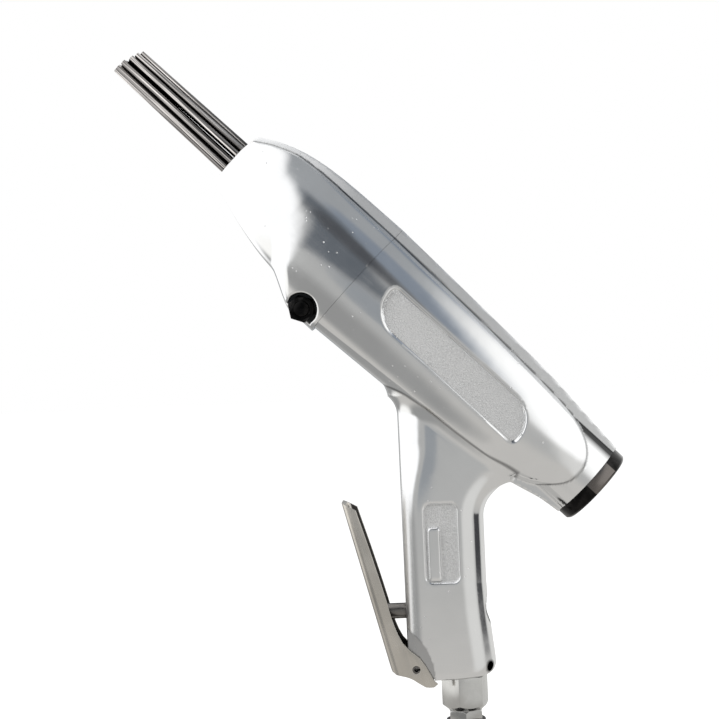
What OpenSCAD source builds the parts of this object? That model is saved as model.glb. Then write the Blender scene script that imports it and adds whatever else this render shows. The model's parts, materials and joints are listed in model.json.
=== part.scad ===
// Pistol-grip air needle scaler.
// It stands upright on the tip of its hose plug: +Z runs up the grip, +X points to the back,
// and the lever side faces -X. The barrel slopes down to the back across the top of the grip.
// On the barrel, s is measured backwards from the seam and h upwards from the bore's axis.

/* [Barrel] */
// Slope of the barrel below the horizontal, in degrees
barrel_rake = 45; // [42:0.5:48]
// Length of the main housing from the seam to the rear face of its neck
barrel_len = 160.4; // [158:0.2:170]
// Distance from the seam to the point where the barrel's axis crosses the inlet's axis
cross_s = 62.9; // [60:0.1:66]
// Height of that crossing above the bottom of the grip
cross_h = 171; // [168:0.5:176]
// Half-width of the barrel over its side pads
pad_half_w = 27.5; // [27:0.1:30]
// Height of the side pads above the axis
pad_top = 27.1; // [26.6:0.1:29]
// Depth of the side pads below the axis
pad_bottom = 40.2; // [39:0.1:43]
// Height of the spine rib above the axis
rib_top = 31.6; // [31:0.1:34]
// Half-width of the spine rib and of the keel
rib_half_w = 10.5; // [8:0.1:11.5]
// Radius of the round neck at the back
neck_r = 22.3; // [22:0.1:24]
// Depth of the sunk side panel
panel_depth = 2; // [1:0.1:2.4]
// Length of the sunk side panel
panel_len = 101; // [80:1:106]
// Height of the sunk side panel
panel_h = 20.7; // [16:0.1:24]

/* [Nose] */
// Length of the nose housing
nose_len = 91.2; // [88:0.2:98]
// Radius of the nose's front face
nose_r = 16.4; // [16:0.1:18]
// Depth of the nose below the axis, in front of the clamp lug
nose_bottom = 31; // [29.5:0.1:33]
// Length of the clamp lug
lug_len = 24; // [23:0.1:27]
// Length of the spigot that the nose clamps round
spigot_len = 22; // [18:0.1:22.5]
// Radius of that spigot
spigot_r = 23; // [22.5:0.05:23.3]
// Length of the nose bush's sleeve
bush_len = 16.2; // [12:0.1:18]
// Inner radius of the nose bush
bush_r = 11.2; // [11:0.05:11.8]
// Wall of the nose bush
bush_wall = 2.3; // [1.8:0.1:2.6]
// Radius of the spring chamber inside the nose
chamber_r = 17.5; // [17.2:0.1:17.9]

/* [Clamp] */
// Thread radius of the clamp bolt
bolt_r = 4; // [3:0.5:4]
// Width across flats of the clamp nut
nut_af = 13; // [10:0.5:14]
// Thickness of the clamp nut
nut_t = 6.5; // [5:0.1:7]
// Radius of the bolt's head
bolt_head_r = 6.5; // [5.5:0.1:7]
// Length of the bolt's head
bolt_head_h = 8; // [5:0.1:8]
// Distance of the bolt from the seam
bolt_s = 11.2; // [10.5:0.1:12]
// Depth of the bolt below the barrel's axis
bolt_h = 34.9; // [34:0.1:36]
// Half-thickness of the lug between the two pockets
clamp_half_t = 9; // [7:0.1:10]
// Width of the slit through the lug
slit_w = 2; // [1:0.1:3]

/* [Rear cap] */
// Radius of the rear cap
cap_r = 22; // [21:0.1:23.5]
// Thickness of the cap outside the neck
cap_t = 7.7; // [6:0.1:10]
// Chamfer at the cap's rear edge
cap_chamfer = 1.2; // [0.5:0.1:2]
// Length of the cap's threaded boss
cap_boss_len = 13.4; // [12.4:0.1:16]
// Radius of the cap's threaded boss
cap_boss_r = 19; // [18.6:0.1:19.6]
// Radius of the two spanner holes
spanner_r = 2.5; // [1.5:0.1:3]

/* [Grip] */
// Distance of the grip's front edge before the inlet's axis
grip_front = 29.5; // [28.5:0.1:31]
// Distance of the grip's rear edge behind the inlet's axis
grip_rear = 13.9; // [13.5:0.1:15]
// Extra depth of the grip at its foot
grip_flare = 3.5; // [2:0.1:4.5]
// Half-width of the grip
grip_half_w = 16; // [15:0.1:18]
// Radius of the hollow behind the grip
notch_r = 17; // [15:0.1:19]
// Height of that hollow's centre above the bottom of the grip
notch_z = 84; // [82:0.1:86]
// Fillet between the grip's front and the barrel
root_r = 15; // [10:0.1:18]
// Half-thickness of the lug that carries the lever
lever_lug_half_t = 9.5; // [8:0.1:10]
// Radius of the flats that clear the lever's ears
ear_flat_r = 31.2; // [31:0.1:32]
// Width of the sunk plate on the grip
plate_w = 18.2; // [14:0.1:19]
// Height of the sunk plate on the grip
plate_h = 42.5; // [30:0.5:44]
// Depth of the sunk plate
plate_depth = 1.6; // [1.2:0.1:2]

/* [Lever] */
// Distance from the lever's pivot to its tip
lever_len = 96.4; // [90:0.1:100]
// Thickness of the lever's sheet
lever_sheet = 1.8; // [1.4:0.1:2.2]
// Bend radius at the lever's outer edges
lever_bend = 4; // [3:0.1:5]
// Distance of the pivot before the inlet's axis
pivot_x = 25.2; // [24.8:0.1:25.6]
// Height of the pivot above the bottom of the grip
pivot_z = 5.7; // [5.2:0.1:6.2]
// Radius of the roll pin
pivot_r = 2; // [1.5:0.1:2.5]

/* [Throttle valve] */
// Height of the throttle valve above the bottom of the grip
valve_z = 35.6; // [34.5:0.1:36.5]
// Radius of the valve's bore
valve_r = 8; // [7.6:0.1:8.4]
// Radius of the throttle pin
throttle_r = 4.15; // [3.6:0.05:4.4]
// Radius of the pin's thin stem
stem_r = 2.8; // [2.2:0.1:3.2]
// Travel of the throttle pin
throttle_travel = 7.3; // [6:0.1:7.4]
// Length of the valve bush
valve_bush_len = 10; // [8:0.1:10.5]
// Length of the valve plug
valve_plug_len = 5.5; // [5:0.1:6]
// Wire thickness of the throttle spring
throttle_wire = 1.1; // [0.8:0.05:1.1]

/* [Inlet] */
// Width across flats of the inlet bushing
inlet_af = 22; // [19:0.5:24]
// Height of the inlet bushing's hex
inlet_hex_h = 18; // [14:0.1:22]
// Radius of the inlet bushing's thread
inlet_r = 9; // [8.5:0.1:9.5]
// Length of the inlet bushing's thread
inlet_thread_len = 20; // [16:0.1:21]
// Width across flats of the hose plug
plug_af = 17; // [15:0.5:18.5]
// Height of the hose plug's hex
plug_hex_h = 5; // [4:0.1:8]
// Radius of the hose plug's thread
plug_thread_r = 6.5; // [5.5:0.1:7]
// Length of the hose plug's thread
plug_thread_len = 10; // [7:0.1:11]
// Radius of the hose plug's stem
plug_stem_r = 6; // [5.5:0.1:6]
// Length of the hose plug's stem
plug_stem_len = 24; // [18:0.5:30]
// Radius of the air way through the hose plug
plug_bore_r = 4; // [3:0.1:4.5]
// Radius of the black collar on the hose plug
collar_r = 10.5; // [9:0.1:12]
// Height of that collar
collar_h = 9; // [6:0.1:12]

/* [Needles] */
// Thickness of a needle
needle_d = 3; // [2.4:0.1:3]
// Reach of the longest needle in front of the nose
needle_reach = 81; // [60:1:90]
// How much shorter the uppermost needles stand
needle_step = 4.5; // [0:0.1:6]
// Thickness of the needle holder
holder_t = 10; // [8:0.1:12]
// Distance of the holder's front face before the seam
holder_lead = 4; // [2:0.1:6]
// Radius of a needle's head
needle_head_r = 1.9; // [1.7:0.05:1.9]
// Thickness of a needle's head
needle_head_t = 2.5; // [2:0.1:3]
// Wire thickness of the return spring
return_wire = 2.5; // [2:0.1:2.6]

/* [Impact parts] */
// Radius of the cylinder sleeve
sleeve_r = 18; // [17.9:0.05:18.4]
// Radius of the piston's bore in the sleeve
cylinder_r = 12; // [11:0.1:13]
// Length of the piston
piston_len = 44; // [38:0.5:46]
// Stroke of the piston
piston_stroke = 21.7; // [18:0.1:24]
// Thickness of the anvil's flange
anvil_flange_t = 8; // [6:0.1:9]
// Radius of the anvil's tail
anvil_r = 8; // [6:0.1:9]
// Length of the bush that guides the anvil's tail
anvil_bush_len = 24; // [18:0.5:28]
// Thickness of the buffer ring
buffer_t = 3.7; // [3:0.1:5]
// Thickness of the valve body
valve_body_t = 7.5; // [6:0.1:8]
// Thickness of the valve cover
valve_cover_t = 12; // [9:0.1:12.5]
// Thickness of the valve disc
disc_t = 1.6; // [1.2:0.1:2]
// Free travel of the valve disc
disc_travel = 0.8; // [0.4:0.1:1.2]

/* [Fits] */
// Gap around pieces that are pressed or screwed in
seat_gap = 0.02; // [0.01:0.005:0.05]
// Gap around pieces that slide or turn
run_gap = 0.06; // [0.03:0.01:0.09]
// Gap between pieces that pass each other
pass_gap = 0.3; // [0.2:0.05:0.5]

/* [Hidden] */
$fn = 48;

// One overrun serves all cuts
over = 1;
// Size of a cut that clears the whole part
far = 400;

// Heights along the inlet's axis
grip_z = plug_stem_len + collar_h + plug_hex_h + inlet_hex_h;
hex_z = grip_z - inlet_hex_h;
collar_z = plug_stem_len;

// Places along the barrel
holder_s = -holder_lead;
head_s = holder_s + holder_t;
anvil_s = head_s + needle_head_t;
anvil_back_s = anvil_s + anvil_flange_t;
buffer_s = anvil_back_s + pass_gap;
sleeve_s = buffer_s + buffer_t;
boss_s = barrel_len - cap_boss_len;
cover_s = boss_s - valve_cover_t;
chest_s = cover_s - valve_body_t;
piston_rest_gap = 1.5;
piston_s = chest_s - piston_rest_gap - piston_len;
anvil_end_s = piston_s - piston_stroke - pass_gap;
bush_s = -nose_len + bush_len;
bush_flange_t = 2;
spring_s = bush_s + bush_flange_t;
neck_share = 0.6;
bore_r = sleeve_r + seat_gap;
slide_r = bore_r - run_gap;

// Barrel section: how round it is, its rib and its draft
section_power = 2.2;
nose_power = 2;
rib_round = 2.2;
rib_draft = 0.6;
nose_rib_share = 0.45;
// Rib outline from its middle to its edge: share of its half-width, share of its edge rounding
rib_shares = [[0, 0], [0.5, 0.04], [0.82, 0.28], [1, 1]];
pad_steps = 8;

// Main housing along the barrel: share of its length, share of the size named
main_ring_shares = [
    0, 0.09, 0.18, 0.26, 0.34, 0.42, 0.5, 0.58, 0.66, 0.72, 0.78, 0.82, 0.86, 0.89, 0.915, 0.935,
    0.952, 0.968, 0.984, 1
];
rib_main_shares = [[0, 1], [0.33, 0.949], [0.66, 0.883], [0.9, 0.77], [1, 0.72]];
top_main_shares = [
    [0, 1], [0.33, 0.96], [0.66, 0.878], [0.78, 0.81], [0.86, 0.723], [0.93, 0.62], [0.958, 0.46],
    [1, 0.3]
];
bottom_main_shares = [
    [0, 1], [0.33, 0.958], [0.53, 0.93], [0.66, 0.87], [0.78, 0.731], [0.86, 0.634], [0.91, 0.517],
    [0.95, 0.45], [1, 0.25]
];
width_main_shares = [
    [0, 1], [0.33, 1], [0.66, 0.982], [0.78, 0.945], [0.86, 0.909], [0.91, 0.873], [0.95, 0.829],
    [0.973, 0.764], [1, 0.65]
];
keel_main_shares = [
    [0, 0.6], [0.5, 0.8], [0.66, 0.855], [0.78, 0.735], [0.86, 0.657], [0.93, 0.59], [1, 0.557]
];

// Nose housing: share of its length, share of the way from the face's radius to the seam's size
nose_ring_shares = [0, 0.05, 0.12, 0.2, 0.3, 0.42, 0.54, 0.66, 0.78, 0.9, 1];
lug_ring_shares = [0.35, 0.6, 0.8, 1];
rib_nose_shares = [[0, 1], [0.35, 0.96], [0.526, 0.895], [0.7, 0.737], [0.877, 0.388], [1, 0]];
top_nose_shares = [[0, 1], [0.47, 1], [0.7, 0.905], [0.877, 0.5], [1, 0]];
bottom_nose_shares = [[0, 1], [0.33, 1], [0.43, 0.93], [0.515, 0.863], [0.713, 0.59], [0.954, 0.09], [1, 0]];
width_nose_shares = [[0, 1], [0.33, 0.955], [0.515, 0.82], [0.713, 0.55], [0.877, 0.28], [1, 0]];
lug_fillet = 5;
lug_fillet_power = 2;

// Side panel
panel_s = 17.2;
panel_mid_h = -2.6;
panel_turn = 0.6;
panel_small_share = 0.2;
panel_large_share = 0.8;
corner_steps = 6;

// Clamp
pocket_gap = 0.6;
nut_corner_r = nut_af / sqrt(3);
pocket_r = nut_corner_r + pocket_gap;
nut_turn = 25;
nut_cone_share = 1.6;
bolt_tail = 1.5;
bolt_gap = 0.2;
bolt_socket_af = 6;
bolt_socket_depth = 4;
slit_reach = 1.2;

// Grip: corner rounding, section and heights of its rings
grip_corner = 8;
grip_edge = 3;
grip_power = 2.6;
grip_steps = 32;
flare_h = 50;
flare_shares = [[0, 1.04], [0.12, 1], [0.38, 0.66], [0.72, 0.2], [1, 0]];
corner_ring_shares = [0, 0.05, 0.16, 0.35, 0.65, 1];
shaft_ring_shares = [0.2, 0.45, 0.7, 1];
notch_angles = [18, 36, 52, 68, 90];
root_angle_shares = [0, 0.35, 0.7, 1];
grip_sink = 5;
under_share = 0.958;
apex_z = notch_z + notch_r;
under_h = pad_bottom * under_share;
root_turn = 90 - barrel_rake;
root_corner_z = cross_h - (under_h - grip_front * sin(barrel_rake)) / cos(barrel_rake);
root_z = root_corner_z - root_r * tan(root_turn / 2);
root_end_z = root_z + root_r * sin(root_turn);
plate_x = 9;
plate_z = 70.9;
plate_round = 4;
field_w = 5.6;
field_h = 27;
field_x = 12.8;
field_z = 65;
field_round = 1;
ear_flat_x = 47;
ear_flat_z = 1.8;

// Lever outline from its pivot: shares of the lever's length
lever_lean = 14.1;
lever_tip_share = [-0.371, 0.928];
lever_heel_share = [-0.144, 0.024];
lever_heel_round_share = [-0.133, -0.008];
// Inner edge: height and place
lever_inner_shares = [
    [-0.067, 0.098], [0.031, 0.045], [0.083, 0.004], [0.118, -0.045], [0.179, -0.085], [0.282, -0.122],
    [0.367, -0.143], [0.622, -0.214], [0.886, -0.294]
];
// Foot: place and height
lever_foot_shares = [
    [-0.11, -0.025], [-0.035, -0.046], [0.015, -0.078], [0.06, -0.101], [0.095, -0.0996], [0.115, -0.083]
];
lever_inner_steps = 22;
lever_foot_steps = 10;
ear_gap = 0.5;
ear_half = lever_lug_half_t + ear_gap;
lever_half_w = ear_half + lever_sheet;
roll_pin_bore_share = 0.6;
roll_pin_slot = 1;
ear_clear = 0.2;

// Throttle valve: places along its axis, from the inlet's axis
valve_face_x = -13;
valve_in_x = valve_face_x - valve_bush_len;
seal_t = 2;
poppet_t = 4;
poppet_x = valve_face_x + seal_t;
poppet_back_x = poppet_x + poppet_t;
poppet_gap = 1.2;
bush_way_r = 5;
outlet_r = 3.5;
outlet_x = -18;
inlet_way_r = 5;
throttle_shoulder_gap = 0.5;
spring_post_len = 3;
spring_post_gap = 0.6;
throttle_turns = 4;
throttle_solid_h = (throttle_turns + 2) * throttle_wire;
valve_plug_x = poppet_back_x + throttle_travel + throttle_solid_h;
plug_socket_af = 6;
plug_socket_depth = 3;
ring_r = 0.88;
ring_groove = 2;
ring_groove_lead = 1;
// Centre of the throttle pin's domed tip, which rests against the lever's web
lever_web_x = -pivot_x + lever_heel_share[0] * lever_len
    - (valve_z - pivot_z - lever_heel_share[1] * lever_len) * tan(lever_lean)
    + lever_sheet / cos(lever_lean);
throttle_dome_x = lever_web_x + (throttle_r + pass_gap) / cos(lever_lean);

// Inlet
inlet_rim_r = 8.7;
inlet_chamfer_h = 4.3;
inlet_turn = 15;
inlet_bore_r = 5.5;
screen_t = 1.5;
screen_wall = 0.8;
screen_hole_r = 0.9;
screen_ring_share = 0.6;
screen_holes = 6;
plug_turn = 30;
plug_chamfer = 1;
plug_edge = 1.2;
lock_r = 2.5;
lock_len = 5;
lock_turn = -38;
lock_z = 6.2;
lock_socket_af = 2.5;
lock_socket_depth = 2;

// Needle bundle: needles in each ring, ring radii in the holder and at the tips
needle_counts = [4, 8, 12];
needle_holder_pitch = [2.8, 6.4, 10.2];
needle_tip_pitch = [2.2, 5, 8];
needle_starts = [45, 22.5, 15];
needle_gap = 0.15;
needle_scatter = 0.7;
scatter_turn = 97;
return_turns = 8;
return_clear = 1.5;
dead_gap = 0.5;

// Impact parts
exhaust_r = 2.5;
exhaust_share = 0.4;
exhaust_count = 4;
port_r = 1.6;
port_share = 0.5;
port_count = 6;
disc_gap = 0.3;
disc_edge_gap = 0.4;
disc_s = cover_s + disc_gap + disc_travel;
cover_way_r = 6;
buffer_r_gap = 0.1;
buffer_hole_gap = 1;
spanner_depth = 4;
spanner_share = 0.62;

// Springs: sides of the wire and steps of a turn
wire_sides = 6;
turn_steps = 16;

// Smooth curve through points of [place, value], with no overshoot
function span(x, pts, i = 0) = (i >= len(pts) - 2 || x < pts[i + 1][0]) ? i : span(x, pts, i + 1);
function chord(pts, i) = (pts[i + 1][1] - pts[i][1]) / (pts[i + 1][0] - pts[i][0]);
function tangent(pts, i) =
    i == 0 ? chord(pts, 0)
    : i == len(pts) - 1 ? chord(pts, i - 1)
    : chord(pts, i - 1) * chord(pts, i) <= 0 ? 0
    : 2 * chord(pts, i - 1) * chord(pts, i) / (chord(pts, i - 1) + chord(pts, i));
function curve(x, pts) =
    let (
        i = span(x, pts),
        w = pts[i + 1][0] - pts[i][0],
        u = (x - pts[i][0]) / w,
        p = pts[i][1],
        q = pts[i + 1][1],
        a = tangent(pts, i) * w,
        b = tangent(pts, i + 1) * w
    )
    p + u * (a + u * (3 * (q - p) - 2 * a - b + u * (2 * (p - q) + a + b)));
function mix(a, b, t) = a + (b - a) * t;

// Closed loft through rings of points, capped about the two end points
function loft_faces(n, m) = concat(
    [for (j = [0:m - 2], i = [0:n - 1]) [j * n + i, j * n + (i + 1) % n, (j + 1) * n + (i + 1) % n]],
    [for (j = [0:m - 2], i = [0:n - 1]) [j * n + i, (j + 1) * n + (i + 1) % n, (j + 1) * n + i]],
    [for (i = [0:n - 1]) [n * m, (i + 1) % n, i]],
    [for (i = [0:n - 1]) [n * m + 1, (m - 1) * n + i, (m - 1) * n + (i + 1) % n]]
);
module loft(rings, first, last) {
    polyhedron(
        concat([for (r = rings) each r], [first, last]),
        loft_faces(len(rings[0]), len(rings)),
        convexity = 8
    );
}

// Half of a barrel section, from the middle of the rib round to the middle of the keel
function crown(y, w, h, n) = h * pow(max(0, 1 - pow(min(1, y / w), n)), 1 / n);
function rib_edge(w, h, n, rib, rw) =
    [for (p = rib_shares) [p[0] * rw, max(crown(p[0] * rw, w, h, n), rib - p[1] * rib_round)]];
function pad_edge(w, h, n, rw) =
    let (start = asin(pow((rw + rib_draft) / w, n / 2)))
    [
        for (i = [0:pad_steps])
            let (t = start + (90 - start) * i / pad_steps)
            [w * pow(sin(t), 2 / n), h * pow(max(0, cos(t)), 2 / n)]
    ];
function flip(pts) = [for (i = [len(pts) - 1:-1:0]) [pts[i][0], -pts[i][1]]];
function tail(pts) = [for (i = [1:len(pts) - 1]) pts[i]];
function half_section(w, top, bottom, rib, keel, rw, n) = concat(
    rib_edge(w, top, n, rib, rw),
    pad_edge(w, top, n, rw),
    tail(flip(pad_edge(w, bottom, n, rw))),
    flip(rib_edge(w, bottom, n, keel, rw))
);
function section_ring(s, half) = concat(
    [for (p = half) [s, p[0], p[1]]],
    [for (i = [len(half) - 2:-1:1]) [s, -half[i][0], half[i][1]]]
);
function main_ring(u) = section_ring(
    u * barrel_len,
    half_section(
        pad_half_w * curve(u, width_main_shares),
        pad_top * curve(u, top_main_shares),
        pad_bottom * curve(u, bottom_main_shares),
        rib_top * curve(u, rib_main_shares),
        pad_bottom * curve(u, keel_main_shares),
        rib_half_w,
        section_power
    )
);
function lug_step(s) =
    let (u = (-s - lug_len) / lug_fillet)
    u <= 0 ? 1 : u >= 1 ? 0 : pow(1 - u, lug_fillet_power);
function nose_ring(s) =
    let (
        u = -s / nose_len,
        width = curve(u, width_nose_shares),
        bottom = mix(nose_r, nose_bottom, curve(u, bottom_nose_shares))
    )
    section_ring(
        s,
        half_section(
            mix(nose_r, pad_half_w, width),
            mix(nose_r, pad_top, curve(u, top_nose_shares)),
            bottom + (pad_bottom - nose_bottom) * lug_step(s),
            mix(nose_r, rib_top, curve(u, rib_nose_shares)),
            nose_r,
            rib_half_w * mix(nose_rib_share, 1, width),
            mix(nose_power, section_power, width)
        )
    );

// Grip section at a height above its bottom
function corner(z, r) = z >= r ? 0 : r - sqrt(max(0, r * r - (r - z) * (r - z)));
function grip_back(z) =
    z <= notch_z
    ? grip_rear + grip_flare * curve(min(1, z / flare_h), flare_shares) - corner(z, grip_corner)
    : grip_rear + notch_r - sqrt(max(0, notch_r * notch_r - pow(min(notch_r, z - notch_z), 2)));
function grip_fore(z) =
    z <= root_z ? grip_front - corner(z, grip_edge)
    : z <= root_end_z ? grip_front + root_r - sqrt(root_r * root_r - pow(z - root_z, 2))
    : grip_front;
function grip_ring(z) =
    let (
        fore = grip_fore(z),
        back = grip_back(z),
        a = (fore + back) / 2,
        b = grip_half_w - corner(z, grip_edge)
    )
    [
        for (i = [0:grip_steps - 1])
            let (c = cos(360 * i / grip_steps), d = -sin(360 * i / grip_steps))
            [
                back - a + a * sign(c) * pow(abs(c), 2 / grip_power),
                b * sign(d) * pow(abs(d), 2 / grip_power),
                grip_z + z
            ]
    ];
grip_heights = concat(
    [for (t = corner_ring_shares) t * grip_corner],
    [for (t = shaft_ring_shares) mix(grip_corner, notch_z, t)],
    [for (a = notch_angles) notch_z + notch_r * sin(a)],
    [(apex_z + root_z) / 2],
    [for (t = root_angle_shares) root_z + root_r * sin(root_turn * t)],
    [root_end_z + grip_sink]
);

// Rounded outline from its lower corner, with one radius for each corner
function round_outline(w, h, radii) =
    let (
        mids = [
            [radii[0], radii[0]], [w - radii[1], radii[1]],
            [w - radii[2], h - radii[2]], [radii[3], h - radii[3]]
        ]
    )
    [
        for (k = [0:3], i = [0:corner_steps])
            let (t = 180 + 90 * k + 90 * i / corner_steps)
            mids[k] + radii[k] * [cos(t), sin(t)]
    ];

// Coil of wire from z = 0 to its length, with a closed turn at each end
function coil_rise(t, turns, wire, length) =
    let (dead = wire + dead_gap, live = length - wire - 2 * dead)
    wire / 2 + (t < 1 ? dead * t : t > turns + 1 ? length - wire - dead * (turns + 2 - t)
        : dead + live * (t - 1) / turns);
module coil(length, radius, wire, turns) {
    steps = turn_steps * (turns + 2);
    rings = [
        for (i = [0:steps])
            let (t = i / turn_steps, z = coil_rise(t, turns, wire, length))
            [
                for (k = [0:wire_sides - 1])
                    let (a = 360 * k / wire_sides, r = radius + wire / 2 * cos(a))
                    [r * cos(360 * t), r * sin(360 * t), z + wire / 2 * sin(a)]
            ]
    ];
    loft(
        rings,
        [radius, 0, wire / 2],
        [radius, 0, length - wire / 2]
    );
}

// Barrel frame: X is s, Z is h
module on_barrel() {
    translate([0, 0, grip_z + cross_h])
        rotate([0, barrel_rake, 0])
            translate([-cross_s, 0, 0])
                children();
}
// Round bar along the barrel, between two places
module bar(from, to, r) {
    translate([from, 0, 0])
        rotate([0, 90, 0])
            cylinder(h = to - from, r = r);
}
module tube(from, to, r, bore) {
    difference() {
        bar(from, to, r);
        bar(from - over, to + over, bore);
    }
}
// Throttle frame: X runs back along the throttle valve
module on_throttle() {
    translate([0, 0, grip_z + valve_z])
        children();
}
module hex_bar(af, h) {
    cylinder(h = h, r = af / sqrt(3), $fn = 6);
}
module seal_ring(outer, r) {
    rotate_extrude()
        translate([outer - r, 0])
            circle(r);
}

// Castings
module barrel_form() {
    loft(
        [for (u = main_ring_shares) main_ring(u)],
        [0, 0, 0],
        [barrel_len, 0, 0]
    );
    bar(barrel_len * neck_share, barrel_len, neck_r);
    bar(-spigot_len, over, spigot_r);
}
module grip_form() {
    loft(
        [for (z = grip_heights) grip_ring(z)],
        [0, 0, grip_z],
        [0, 0, grip_z + root_end_z + grip_sink]
    );
}
module side_panel() {
    small = panel_h * panel_small_share;
    large = panel_h * panel_large_share;
    translate([panel_s, panel_depth - pad_half_w, panel_mid_h - panel_h / 2])
        rotate([90, 0, panel_turn])
            linear_extrude(height = pad_half_w)
                polygon(round_outline(panel_len, panel_h, [large, small, large, small]));
}
module grip_plate() {
    translate([0, plate_depth - grip_half_w, grip_z])
        rotate([90, 0, 0])
            linear_extrude(height = grip_half_w)
                difference() {
                    translate([-plate_x - plate_w / 2, plate_z - plate_h / 2])
                        polygon(round_outline(plate_w, plate_h, [for (k = [0:3]) plate_round]));
                    translate([-field_x - field_w / 2, field_z - field_h / 2])
                        polygon(round_outline(field_w, field_h, [for (k = [0:3]) field_round]));
                }
}
module ear_flats() {
    for (side = [-1, 1])
        translate([-ear_flat_x, side * (lever_lug_half_t + grip_half_w), grip_z + ear_flat_z])
            rotate([90, 0, 0])
                cylinder(h = 2 * grip_half_w, r = ear_flat_r, center = true);
}
module lock_way(from, to, r) {
    translate([0, 0, grip_z + lock_z])
        rotate([0, 0, lock_turn])
            bar(from, to, r);
}
module grip_ways() {
    translate([0, 0, grip_z - over])
        cylinder(h = inlet_thread_len + over, r = inlet_r + seat_gap);
    translate([0, 0, grip_z])
        cylinder(h = valve_z, r = inlet_way_r);
    on_throttle() {
        bar(valve_in_x, far / 2, valve_r + seat_gap);
        bar(-far / 2, valve_in_x + over, throttle_r + run_gap);
    }
    translate([outlet_x, 0, grip_z + valve_z])
        cylinder(h = cross_h - valve_z, r = outlet_r);
    translate([-pivot_x, 0, grip_z + pivot_z])
        rotate([90, 0, 0])
            cylinder(h = far, r = pivot_r + seat_gap, center = true);
    lock_way(0, far / 2, lock_r + seat_gap);
}
module main_housing() {
    color("gainsboro")
        difference() {
            union() {
                on_barrel()
                    barrel_form();
                grip_form();
            }
            on_barrel() {
                bar(-spigot_len - over, boss_s, bore_r);
                bar(boss_s, barrel_len + over, cap_boss_r + seat_gap);
                side_panel();
            }
            grip_plate();
            ear_flats();
            grip_ways();
        }
}
module nut_pocket(side) {
    translate([-bolt_s, side * (clamp_half_t + pad_half_w), -bolt_h]) {
        rotate([90, 0, 0])
            cylinder(h = 2 * pad_half_w, r = pocket_r, center = true);
        translate([-pocket_r, -pad_half_w, -pad_bottom])
            cube([2 * pocket_r, 2 * pad_half_w, pad_bottom]);
    }
}
module nose_housing() {
    rings = concat(
        [for (t = nose_ring_shares) mix(-nose_len, -lug_len - lug_fillet, t)],
        [for (t = lug_ring_shares) mix(-lug_len - lug_fillet, -lug_len, t)],
        [0]
    );
    color("gainsboro")
        on_barrel()
            difference() {
                loft([for (s = rings) nose_ring(s)], [-nose_len, 0, 0], [0, 0, 0]);
                bar(-nose_len - over, bush_s, bush_r + bush_wall + seat_gap);
                bar(bush_s, over, chamber_r);
                bar(-spigot_len - pass_gap, over, spigot_r + seat_gap);
                translate([-bolt_s, 0, -bolt_h])
                    rotate([90, 0, 0])
                        cylinder(h = far, r = bolt_r + bolt_gap, center = true);
                for (side = [-1, 1])
                    nut_pocket(side);
                translate([-spigot_len - slit_reach, -slit_w / 2, -pad_bottom - over])
                    cube([spigot_len + slit_reach + over, slit_w, pad_bottom + 2 * over - chamber_r]);
            }
}

// Clamp across the nose housing's lug
module clamp_bolt() {
    color("dimgray")
        on_barrel()
            translate([-bolt_s, clamp_half_t, -bolt_h])
                rotate([90, 0, 0]) {
                    cylinder(h = 2 * clamp_half_t + nut_t + bolt_tail, r = bolt_r);
                    translate([0, 0, -bolt_head_h])
                        difference() {
                            cylinder(h = bolt_head_h, r = bolt_head_r);
                            translate([0, 0, -over])
                                hex_bar(bolt_socket_af, bolt_socket_depth + over);
                        }
                }
}
module clamp_nut() {
    color("dimgray")
        on_barrel()
            translate([-bolt_s, -clamp_half_t, -bolt_h])
                rotate([90, 0, 0])
                    difference() {
                        intersection() {
                            rotate([0, 0, nut_turn])
                                hex_bar(nut_af, nut_t);
                            cylinder(h = nut_t, r1 = nut_corner_r + nut_cone_share * nut_t, r2 = nut_af / 2);
                        }
                        translate([0, 0, -over])
                            cylinder(h = nut_t + 2 * over, r = bolt_r + seat_gap);
                    }
}

// Back of the barrel
module rear_cap() {
    color("black")
        on_barrel()
            difference() {
                union() {
                    translate([barrel_len, 0, 0])
                        rotate([0, 90, 0])
                            rotate_extrude()
                                polygon([
                                    [0, 0], [cap_r, 0], [cap_r, cap_t - cap_chamfer],
                                    [cap_r - cap_chamfer, cap_t], [0, cap_t]
                                ]);
                    bar(boss_s + seat_gap, barrel_len, cap_boss_r);
                }
                tube(
                    barrel_len - ring_groove_lead - ring_groove, barrel_len - ring_groove_lead,
                    cap_boss_r + over, cap_boss_r - 2 * ring_r - seat_gap
                );
                for (side = [-1, 1])
                    translate([0, side * cap_r * spanner_share, 0])
                        bar(barrel_len + cap_t - spanner_depth, barrel_len + cap_t + over, spanner_r);
            }
}
module cap_seal() {
    color("darkslategray")
        on_barrel()
            translate([barrel_len - ring_groove_lead - ring_groove / 2, 0, 0])
                rotate([0, 90, 0])
                    seal_ring(cap_boss_r, ring_r);
}

// Needle pack
module nose_bush() {
    color("peru")
        on_barrel() {
            tube(-nose_len, bush_s, bush_r + bush_wall, bush_r);
            tube(bush_s, spring_s, chamber_r - pass_gap, bush_r);
        }
}
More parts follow.
